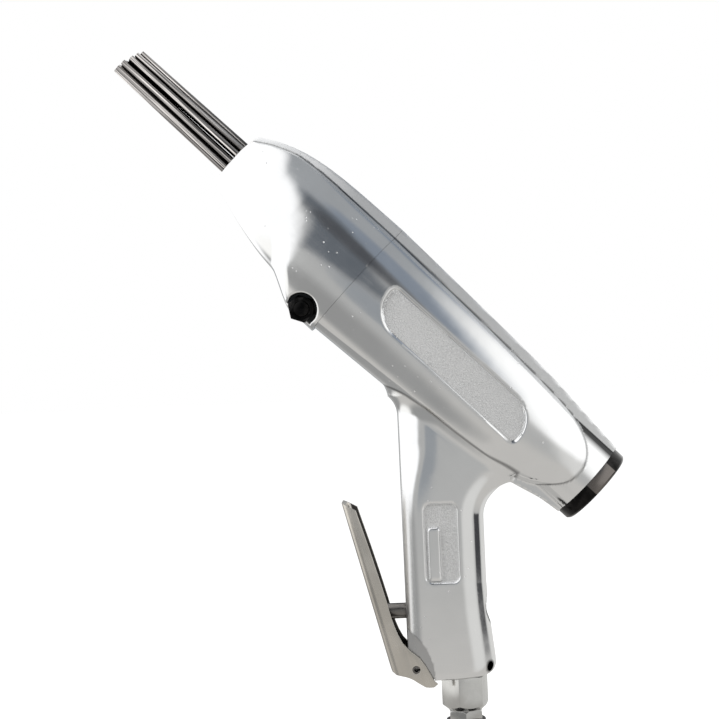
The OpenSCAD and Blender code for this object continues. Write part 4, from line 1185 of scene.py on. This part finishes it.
def moulded(name, tone, rough, scale):
    """Rubber or plastic with a moulded grain and a little dust."""
    made, tree, shader, place = blank_material(name)
    streaks = placed(tree, streak_group(), {"Vector": place, "Scale": scale, "Length": (1.0, 1.0, 1.0)})
    feed(tree, shader, {
        "Base Color": mixed_colour(tree, streaks["Haze"], tone, shade(tone, DUST_TONE)),
        "Roughness": levels(tree, streaks["Streak"], *rough),
        "Normal": bump(tree, streaks["Streak"], strength=0.2, distance=0.0001),
    })
    return made


def metals():
    """The metals by slot; the cap and the pins look unlike the rest of their slots."""
    c = settings("scaler_finish")
    oxide = Metal(
        "black_oxide", c.black_oxide, (0.16, 0.27), 700.0, relief=0.05, wave=0.06, wear=0.25,
        worn=(0.16, 0.15, 0.145),
    )
    return {
        "black_steel": oxide,
        "cap_steel": oxide._replace(name="cap_oxide"),
        # The needles' bright, narrow streak lines are painted highlights
        "needle_steel": Metal(
            "drawn_rod", c.needle, (0.1, 0.16), 1300.0, (0.008, 1.0, 1.0),
            turn=-settings("scaler_barrel").rake, lines=1.0, bright=6.4, sharp=1.7, relief=0.0,
        ),
        "lever_steel": Metal(
            "pressed_sheet", c.lever, (0.17, 0.27), 800.0, (1.0, 1.0, 0.05), turn=math.radians(14),
            lines=0.15, relief=0.04, wave=0.08,
        ),
        "ground_steel": Metal("ground_steel", c.ground, (0.18, 0.3), 1400.0, (1.0, 0.05, 1.0), wear=0.3),
        # The pins' darker steel is painted shade at the lever pin's sunk end
        "dark_pin_steel": Metal("dark_pin_steel", c.oiled, (0.16, 0.26), 900.0, (0.06, 1.0, 1.0), wear=0.2),
        "plated_steel": Metal(
            "nickel_plate", c.plated, (0.11, 0.15), 700.0, (1.0, 1.0, 0.3), lines=0.06, relief=0.01
        ),
        "bronze": Metal("turned_bronze", c.bronze, (0.24, 0.36), 1200.0, (1.0, 0.1, 1.0), wear=0.3),
    }


@cache
def finish(slot):
    """The material of a slot or look, built once."""
    c = settings("scaler_finish")
    if slot == "cast_aluminium":
        return polished_casting()
    if slot == "rubber":
        return moulded("seal_rubber", c.rubber, rough=(0.55, 0.7), scale=900.0)
    if slot == "black_plastic":
        return moulded("moulded_collar", c.plastic, rough=(0.36, 0.5), scale=1500.0)
    made = steel(metals()[slot])
    # The cap gets a painted reflection
    return painted_reflection_patch(made) if slot == "cap_steel" else made


# Needle bundle, from its inner ring to its outer one

NEEDLE_COUNTS = (4, 8, 12)
HOLDER_PITCH = (0.0028, 0.0064, 0.0102)
TIP_PITCH = (0.0022, 0.005, 0.008)
RING_STARTS = (45.0, 22.5, 15.0)
SCATTER_TURN = 97.0
NEEDLE_POINTS, NEEDLE_SIDES, NEEDLE_SEED = 14, 20, 5
# Power of the way along a needle with which its bend grows
BEND_GROWTH = 2.0


def needle_lines():
    """Foot, direction, length and painted shade of each needle; the needles inside the bundle are in painted
    shade.
    """
    n, nose = settings("scaler_needles"), settings("scaler_nose")
    back, over, seam = barrel_axes()
    side = np.array([0, 1, 0])
    run = n.head_s + nose.length + n.reach
    lines = []
    for ring, count in enumerate(NEEDLE_COUNTS):
        for k in range(count):
            turn = math.radians(RING_STARTS[ring] + 360 * k / count)
            out = over * math.cos(turn) - side * math.sin(turn)
            rise = (1 + math.cos(turn) * TIP_PITCH[ring] / max(TIP_PITCH)) / 2
            scatter = n.scatter * math.sin(math.radians(SCATTER_TURN * (k + ring * len(NEEDLE_COUNTS))))
            foot = seam + back * n.head_s + out * HOLDER_PITCH[ring]
            aim = seam + back * (n.head_s - run) + out * TIP_PITCH[ring]
            painted_shade = float(ring < len(NEEDLE_COUNTS) - 1)
            reach = run - n.step * rise - abs(scatter)
            lines.append((foot, (aim - foot) / np.linalg.norm(aim - foot), reach, painted_shade))
    return lines


def needle_tree(material):
    """Node tree that draws a rod and its head from each foot, and its inputs' identifiers."""
    tree = bpy.data.node_groups.new("needle bundle", "GeometryNodeTree")
    tree.is_modifier = True
    tree.interface.new_socket("Feet", in_out="INPUT", socket_type="NodeSocketGeometry")
    sockets = {
        name: tree.interface.new_socket(name, in_out="INPUT", socket_type="NodeSocketFloat").identifier
        for name in ("Radius", "Bend", "Head Radius", "Head Thickness")
    }
    tree.interface.new_socket("Needles", in_out="OUTPUT", socket_type="NodeSocketGeometry")
    given, sink = tree.nodes.new("NodeGroupInput").outputs, tree.nodes.new("NodeGroupOutput")

    def made(kind, output, inputs, **options):
        return add(tree, kind, inputs, **options).outputs[output]

    def named(name, kind):
        return made("GeometryNodeInputNamedAttribute", "Attribute", {"Name": name}, data_type=kind)

    aim = named("aim", "FLOAT_VECTOR")
    turn = made("FunctionNodeAlignRotationToVector", "Rotation", {"Vector": aim}, axis="Z")
    scale = made("ShaderNodeCombineXYZ", "Vector", {"X": 1.0, "Y": 1.0, "Z": named("reach", "FLOAT")})
    line = made("GeometryNodeCurvePrimitiveLine", "Curve", {"Start": (0.0, 0.0, 0.0), "End": (0.0, 0.0, 1.0)})
    line = made("GeometryNodeResampleCurve", "Curve", {"Curve": line, "Count": NEEDLE_POINTS})
    standing = {"Points": given["Feet"], "Rotation": turn}
    rods = made("GeometryNodeInstanceOnPoints", "Instances", {**standing, "Instance": line, "Scale": scale})
    rods = made("GeometryNodeRealizeInstances", "Geometry", {"Geometry": rods})
    drift = made(
        "FunctionNodeRandomValue", 0,
        {
            0: (-1.0, -1.0, -1.0), 1: (1.0, 1.0, 1.0), "Seed": NEEDLE_SEED,
            "ID": made("GeometryNodeCurveOfPoint", "Curve Index", {}),
        },
        data_type="FLOAT_VECTOR",
    )
    growth = maths(tree, "POWER", made("GeometryNodeSplineParameter", "Factor", {}), BEND_GROWTH)
    growth = maths(tree, "MULTIPLY", growth, given["Bend"])
    shift = made("ShaderNodeVectorMath", "Vector", {0: drift, "Scale": growth}, operation="SCALE")
    rods = made("GeometryNodeSetPosition", "Geometry", {"Geometry": rods, "Offset": shift})
    ring = made(
        "GeometryNodeCurvePrimitiveCircle", "Curve", {"Resolution": NEEDLE_SIDES, "Radius": given["Radius"]}
    )
    rods = made("GeometryNodeCurveToMesh", "Mesh", {"Curve": rods, "Profile Curve": ring, "Fill Caps": True})
    head = made(
        "GeometryNodeMeshCylinder", "Mesh",
        {"Vertices": NEEDLE_SIDES, "Radius": given["Head Radius"], "Depth": given["Head Thickness"]},
    )
    heads = made("GeometryNodeInstanceOnPoints", "Instances", {**standing, "Instance": head})
    joined = tree.nodes.new("GeometryNodeJoinGeometry")
    for part in (heads, rods):
        tree.links.new(part, joined.inputs["Geometry"])
    real = made("GeometryNodeRealizeInstances", "Geometry", {"Geometry": joined.outputs["Geometry"]})
    dressed = made("GeometryNodeSetMaterial", "Geometry", {"Geometry": real, "Material": material})
    tree.links.new(dressed, sink.inputs["Needles"])
    return tree, sockets


# Operators

class PieceOperator:
    """What the operators share."""

    bl_options = {"REGISTER", "UNDO"}


class SCALER_OT_main_housing(PieceOperator, bpy.types.Operator):
    """Casts the barrel and grip in one polished piece"""

    bl_idname = "scaler.main_housing"
    bl_label = "Main Housing"

    def execute(self, context):
        piece = casting_piece("main_casting", MainCasting(), context.scene.scaler_barrel.step)
        dress(piece, "housing", finish("cast_aluminium"), "cast_aluminium", "main_housing")
        return {"FINISHED"}


class SCALER_OT_nose_housing(PieceOperator, bpy.types.Operator):
    """Casts the nose with its clamp lug"""

    bl_idname = "scaler.nose_housing"
    bl_label = "Nose Housing"

    def execute(self, context):
        piece = casting_piece("nose_casting", NoseCasting(), context.scene.scaler_nose.step)
        dress(piece, "housing", finish("cast_aluminium"), "cast_aluminium", "nose_housing")
        return {"FINISHED"}


class SCALER_OT_needles(PieceOperator, bpy.types.Operator):
    """Draws the bundle of needles with their heads"""

    bl_idname = "scaler.needles"
    bl_label = "Needles"

    def execute(self, context):
        n = context.scene.scaler_needles
        feet, aims, reaches, painted_shade = zip(*needle_lines())
        mesh = bpy.data.meshes.new("needle_bundle")
        mesh.from_pydata(feet, [], [])
        mesh.attributes.new("aim", "FLOAT_VECTOR", "POINT").data.foreach_set("vector", np.ravel(aims))
        mark(mesh, "reach", reaches)
        # The needles inside the bundle get painted shade
        mark(mesh, "crevice", painted_shade)
        piece = linked("needle_bundle", mesh)
        tree, sockets = needle_tree(finish("needle_steel"))
        modifier = piece.modifiers.new("needles", "NODES")
        modifier.node_group = tree
        given = {"Radius": n.radius, "Bend": n.bend, "Head Radius": n.head_r, "Head Thickness": n.head_t}
        for name, value in given.items():
            modifier[sockets[name]] = value
        smooth(plain_mesh(piece, "needle_bundle"))
        dress(piece, "needle_pack", finish("needle_steel"), "needle_steel", "needles")
        return {"FINISHED"}


# Shown pieces that keep their CAD form: node, piece, body, slot, look, broken edge, bend
FITTINGS = (
    ("throttle_lever", "lever_channel", "lever", "lever_steel", "lever_steel", 0.0002, 0.0015),
    ("rear_cap", "end_cap", "housing", "black_steel", "cap_steel", 0.0003, 0),
    ("clamp_nut", "lug_nut", "housing", "black_steel", "black_steel", 0.0003, 0),
    ("clamp_bolt", "lug_bolt", "housing", "black_steel", "black_steel", 0.0004, 0),
    ("inlet_bushing", "inlet_hex", "housing", "plated_steel", "plated_steel", 0.0003, 0),
    ("hose_plug", "hose_tail", "housing", "plated_steel", "plated_steel", 0.00025, 0),
    ("plug_collar", "hose_collar", "housing", "black_plastic", "black_plastic", 0.0006, 0),
    ("nose_bush", "front_bush", "housing", "bronze", "bronze", 0.0003, 0),
    # The two pins take the darker pin steel, which is painted shade at the lever pin's end
    ("lever_pin", "roll_pin", "housing", "ground_steel", "dark_pin_steel", 0.0001, 0),
    ("throttle_pin", "push_pin", "throttle", "ground_steel", "dark_pin_steel", 0.00015, 0),
    ("valve_plug", "valve_screw", "housing", "black_steel", "black_steel", 0.0003, 0),
    ("lock_screw", "grub_screw", "housing", "black_steel", "black_steel", 0.00015, 0),
)


class SCALER_OT_fittings(PieceOperator, bpy.types.Operator):
    """Breaks the edges of the lever, cap, clamp, inlet and pins"""

    bl_idname = "scaler.fittings"
    bl_label = "Fittings"

    def execute(self, context):
        for node, name, body, slot, look, bevel, bend in FITTINGS:
            dress(bevelled_copy(name, node, bevel, bend), body, finish(look), slot, node)
        return {"FINISHED"}


class SCALER_OT_inner_pieces(PieceOperator, bpy.types.Operator):
    """Gives the hidden pieces their finish"""

    bl_idname = "scaler.inner_pieces"
    bl_label = "Inner Pieces"

    def execute(self, context):
        slots = {row["node"]: row["material_slot"] for row in frame["record"]["subparts"]}
        for node, piece in frame["nodes"].items():
            paint(piece, finish(slots[node]))
        return {"FINISHED"}


# Springs: node, piece, moving body, way from the housing to that body
SPRINGS = (
    ("return_spring", "needle_spring", "needle_pack", "back"),
    ("throttle_spring", "valve_spring", "throttle", "front"),
)


class SCALER_OT_springs(PieceOperator, bpy.types.Operator):
    """Copies the springs as smooth pieces in their finish and hides their nodes"""

    bl_idname = "scaler.springs"
    bl_label = "Springs"

    def execute(self, context):
        ways = {"back": Vector(barrel_axes()[0]), "front": Vector((-1, 0, 0))}
        for node, name, body, way in SPRINGS:
            piece = new_piece(name, merged_mesh(node))
            smooth(piece)
            paint(piece, finish("ground_steel"))
            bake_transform(piece)
            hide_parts(node)
        return {"FINISHED"}


# Light tent round the part, painted in this order: name, tone, limits (direction, from, to)
TENT_CENTRE = (-0.05, 0.0, 0.24)
TENT_TONE = (0.49, 0.49, 0.482)
TENT_WALLS = (
    ("low panel", (0.6, 0.585, 0.56), (((0, 0, -1), 0.3, 0.6),)),
    ("low shade", (0.34, 0.34, 0.335), (((-0.6, -0.6, -0.52), 0.88, 0.98),)),
    ("low left panel", (1.14, 1.13, 1.1), (((-1, 0, 0), 0.76, 0.9), ((0, 0, 1), -0.72, -0.58))),
    ("low right panel", (0.75, 0.745, 0.725), (((0.656, -0.656, -0.375), 0.9, 0.975),)),
    ("upper panel", (0.365, 0.38, 0.395), (((0, 0, 1), 0.5, 0.7),)),
    ("blue patch", (0.25, 0.285, 0.335), (((0.58, -0.58, 0.57), 0.92, 0.98),)),
    ("camera port", (0.33, 0.35, 0.37), (((-0.13, -0.973, -0.17), 0.972, 0.99), ((0, 0, 1), -0.27, -0.21))),
    (
        "right wall", (1.22, 1.22, 1.21),
        (((0.906, 0, -0.423), 0.3, 0.56), ((0, 0, 1), -0.25, -0.05), ((0, 0, -1), -0.82, -0.64)),
    ),
    ("right edge", (0.06, 0.06, 0.065), (((0.93, -0.11, -0.345), 0.974, 0.992), ((0, 0, 1), -0.405, -0.38))),
    (
        "dark gap", (0.13, 0.145, 0.165),
        (
            ((-0.8375, 0, 0.546), -0.05, 0.05), ((0.8375, 0, -0.546), -0.41, -0.25),
            ((0, 0, 1), -0.03, 0.06), ((0, -1, 0), 0.5, 0.7),
        ),
    ),
    ("dark core", (0.085, 0.09, 0.1), (((0.22, -0.85, 0.475), 0.955, 0.995),)),
    ("left wall", (1.22, 1.22, 1.22), (((-0.8375, 0, 0.546), 0.33, 0.44), ((0, 0, 1), -0.34, -0.18))),
)
TENT_SEGMENTS, TENT_RINGS = 64, 32
# Soft lamps: name, place, side, power
LAMPS = (
    ("left_softbox", (-1.3, -0.5, 0.75), 1.1, 9.0),
    ("top_softbox", (0.3, -0.2, 1.5), 1.0, 7.0),
)
WHITE = (1, 1, 1, 1)
# The floor's paper, and the glow that makes it look white to the camera
FLOOR_REACH, FLOOR_COLOUR, FLOOR_GLOW = 6.0, (0.42, 0.42, 0.42, 1), 0.74


def light_tent(centre, reach):
    """Studio tent that only reflections see, the same in front and behind."""
    work = bmesh.new()
    bmesh.ops.create_uvsphere(work, u_segments=TENT_SEGMENTS, v_segments=TENT_RINGS, radius=reach)
    piece = new_piece("light_tent", work)
    piece.location = centre
    material, tree, surface = bare_material("light_tent")
    place = tree.nodes.new("ShaderNodeTexCoord").outputs["Object"]
    way = add(tree, "ShaderNodeVectorMath", {0: place}, operation="NORMALIZE").outputs[0]
    split = add(tree, "ShaderNodeSeparateXYZ", {"Vector": way}).outputs
    front = maths(tree, "MULTIPLY", maths(tree, "ABSOLUTE", split["Y"]), -1.0)
    folded = add(tree, "ShaderNodeCombineXYZ", {"X": split["X"], "Y": front, "Z": split["Z"]}).outputs[0]
    tone = TENT_TONE
    for _, paint_tone, limits in TENT_WALLS:
        sides = [ramp(tree, reach_along(tree, folded, way), low, high) for way, low, high in limits]
        tone = mixed_colour(tree, product(tree, *sides), tone, paint_tone)
    glow = add(tree, "ShaderNodeEmission", {"Color": tone, "Strength": 1.0})
    tree.links.new(glow.outputs[0], surface)
    paint(piece, material)
    for rays in ("camera", "diffuse", "shadow", "transmission"):
        setattr(piece, f"visible_{rays}", False)


def seen_by(tree, *rays):
    """Mask of some kinds of rays."""
    path = tree.nodes.new("ShaderNodeLightPath").outputs
    mask = path[f"Is {rays[0]} Ray"]
    for ray in rays[1:]:
        mask = maths(tree, "MAXIMUM", mask, path[f"Is {ray} Ray"])
    return mask


class SCALER_OT_stage(PieceOperator, bpy.types.Operator):
    """Sets the floor, lights, reflections and camera"""

    bl_idname = "scaler.stage"
    bl_label = "Stage"

    def execute(self, context):
        scene = context.scene
        scene.view_settings.view_transform = "Standard"
        self.world(scene)
        self.floor()
        light_tent(TENT_CENTRE, scene.scaler_stage.tent_reach)
        for lamp in LAMPS:
            self.lamp(*lamp)
        self.camera(scene)
        return {"FINISHED"}

    def world(self, scene):
        """Soft light all round, and white where the camera sees past the floor."""
        scene.world = bpy.data.worlds.new("studio")
        scene.world.use_nodes = True
        tree = scene.world.node_tree
        tree.nodes.clear()
        seen = seen_by(tree, "Camera", "Glossy", "Transmission")
        light, white = (
            add(tree, "ShaderNodeBackground", {"Color": WHITE, "Strength": strength}).outputs[0]
            for strength in (scene.scaler_stage.ambient, 1.0)
        )
        both = add(tree, "ShaderNodeMixShader", {0: seen, 1: light, 2: white})
        add(tree, "ShaderNodeOutputWorld", {"Surface": both.outputs[0]})

    def floor(self):
        """Pale paper that glows for the camera."""
        corners = [(x * FLOOR_REACH, y * FLOOR_REACH, 0) for x, y in ((-1, -1), (1, -1), (1, 1), (-1, 1))]
        mesh = bpy.data.meshes.new("floor")
        mesh.from_pydata(corners, [], [(0, 1, 2, 3)])
        piece = linked("floor", mesh)
        material, tree, surface = bare_material("pale_floor")
        paper = add(tree, "ShaderNodeBsdfDiffuse", {"Color": FLOOR_COLOUR})
        strength = maths(tree, "MULTIPLY", seen_by(tree, "Camera", "Glossy"), FLOOR_GLOW)
        glow = add(tree, "ShaderNodeEmission", {"Color": WHITE, "Strength": strength})
        both = add(tree, "ShaderNodeAddShader", {0: paper.outputs[0], 1: glow.outputs[0]})
        tree.links.new(both.outputs[0], surface)
        paint(piece, material)
        piece.visible_glossy = False

    def lamp(self, name, place, side, power):
        """A square lamp that faces the part's middle and shows in no reflection."""
        data = bpy.data.lights.new(name, "AREA")
        data.shape = "SQUARE"
        data.size = side
        data.energy = power
        piece = linked(name, data)
        piece.location = place
        middle = Vector((CAD_BOX[0] + CAD_BOX[1]) / 2)
        piece.rotation_euler = (middle - Vector(place)).to_track_quat("-Z", "Y").to_euler()
        piece.visible_glossy = False

    def camera(self, scene):
        """The camera that overlays the photograph."""
        s = scene.scaler_stage
        level = math.cos(s.elevation)
        away = Vector((math.sin(s.azimuth) * level, -math.cos(s.azimuth) * level, math.sin(s.elevation)))
        right = (-away).cross(Vector((0, 0, 1))).normalized()
        up = right.cross(-away)
        across = right * math.cos(s.roll) + up * math.sin(s.roll)
        rise = up * math.cos(s.roll) - right * math.sin(s.roll)
        data = bpy.data.cameras.new("camera")
        data.sensor_width = SENSOR_WIDTH
        data.lens = s.focal_px / IMAGE_SIDE * SENSOR_WIDTH
        piece = linked("camera", data)
        turn = Matrix((across, rise, away)).transposed().to_4x4()
        piece.matrix_world = Matrix.Translation(Vector((s.aim_x, 0, s.aim_z)) + away * s.distance) @ turn
        scene.camera = piece


OPERATORS = (
    SCALER_OT_stage, SCALER_OT_inner_pieces, SCALER_OT_main_housing, SCALER_OT_nose_housing,
    SCALER_OT_needles, SCALER_OT_fittings, SCALER_OT_springs,
)
SETTINGS = {
    "scaler_barrel": BarrelSizes,
    "scaler_nose": NoseSizes,
    "scaler_grip": GripSizes,
    "scaler_needles": NeedleSizes,
    "scaler_finish": FinishColours,
    "scaler_stage": StageSettings,
}


class SCALER_PT_panel(bpy.types.Panel):
    """Lists the pieces of the needle scaler"""

    bl_idname = "SCALER_PT_panel"
    bl_label = "Needle Scaler"
    bl_space_type = "VIEW_3D"
    bl_region_type = "UI"
    bl_category = "Needle Scaler"

    def draw(self, context):
        for operator in OPERATORS:
            self.layout.operator(operator.bl_idname)
        for name, kind in SETTINGS.items():
            box = self.layout.box()
            for key in kind.__annotations__:
                box.prop(getattr(context.scene, name), key, text=key.replace("_", " ").capitalize())


def register():
    """Adds the settings, operators and panel to Blender."""
    for kind in (*SETTINGS.values(), *OPERATORS, SCALER_PT_panel):
        bpy.utils.register_class(kind)
    for name, kind in SETTINGS.items():
        setattr(bpy.types.Scene, name, bpy.props.PointerProperty(type=kind))


def unregister():
    """Takes them out again."""
    for name in SETTINGS:
        delattr(bpy.types.Scene, name)
    for kind in (SCALER_PT_panel, *reversed(OPERATORS), *reversed(SETTINGS.values())):
        bpy.utils.unregister_class(kind)


def main():
    """Builds the scene."""
    register()
    bpy.ops.scaler.stage()
    bpy.ops.scaler.inner_pieces()
    bpy.ops.scaler.main_housing()
    bpy.ops.scaler.nose_housing()
    bpy.ops.scaler.needles()
    bpy.ops.scaler.fittings()
    bpy.ops.scaler.springs()


if __name__ == "__main__":
    main()
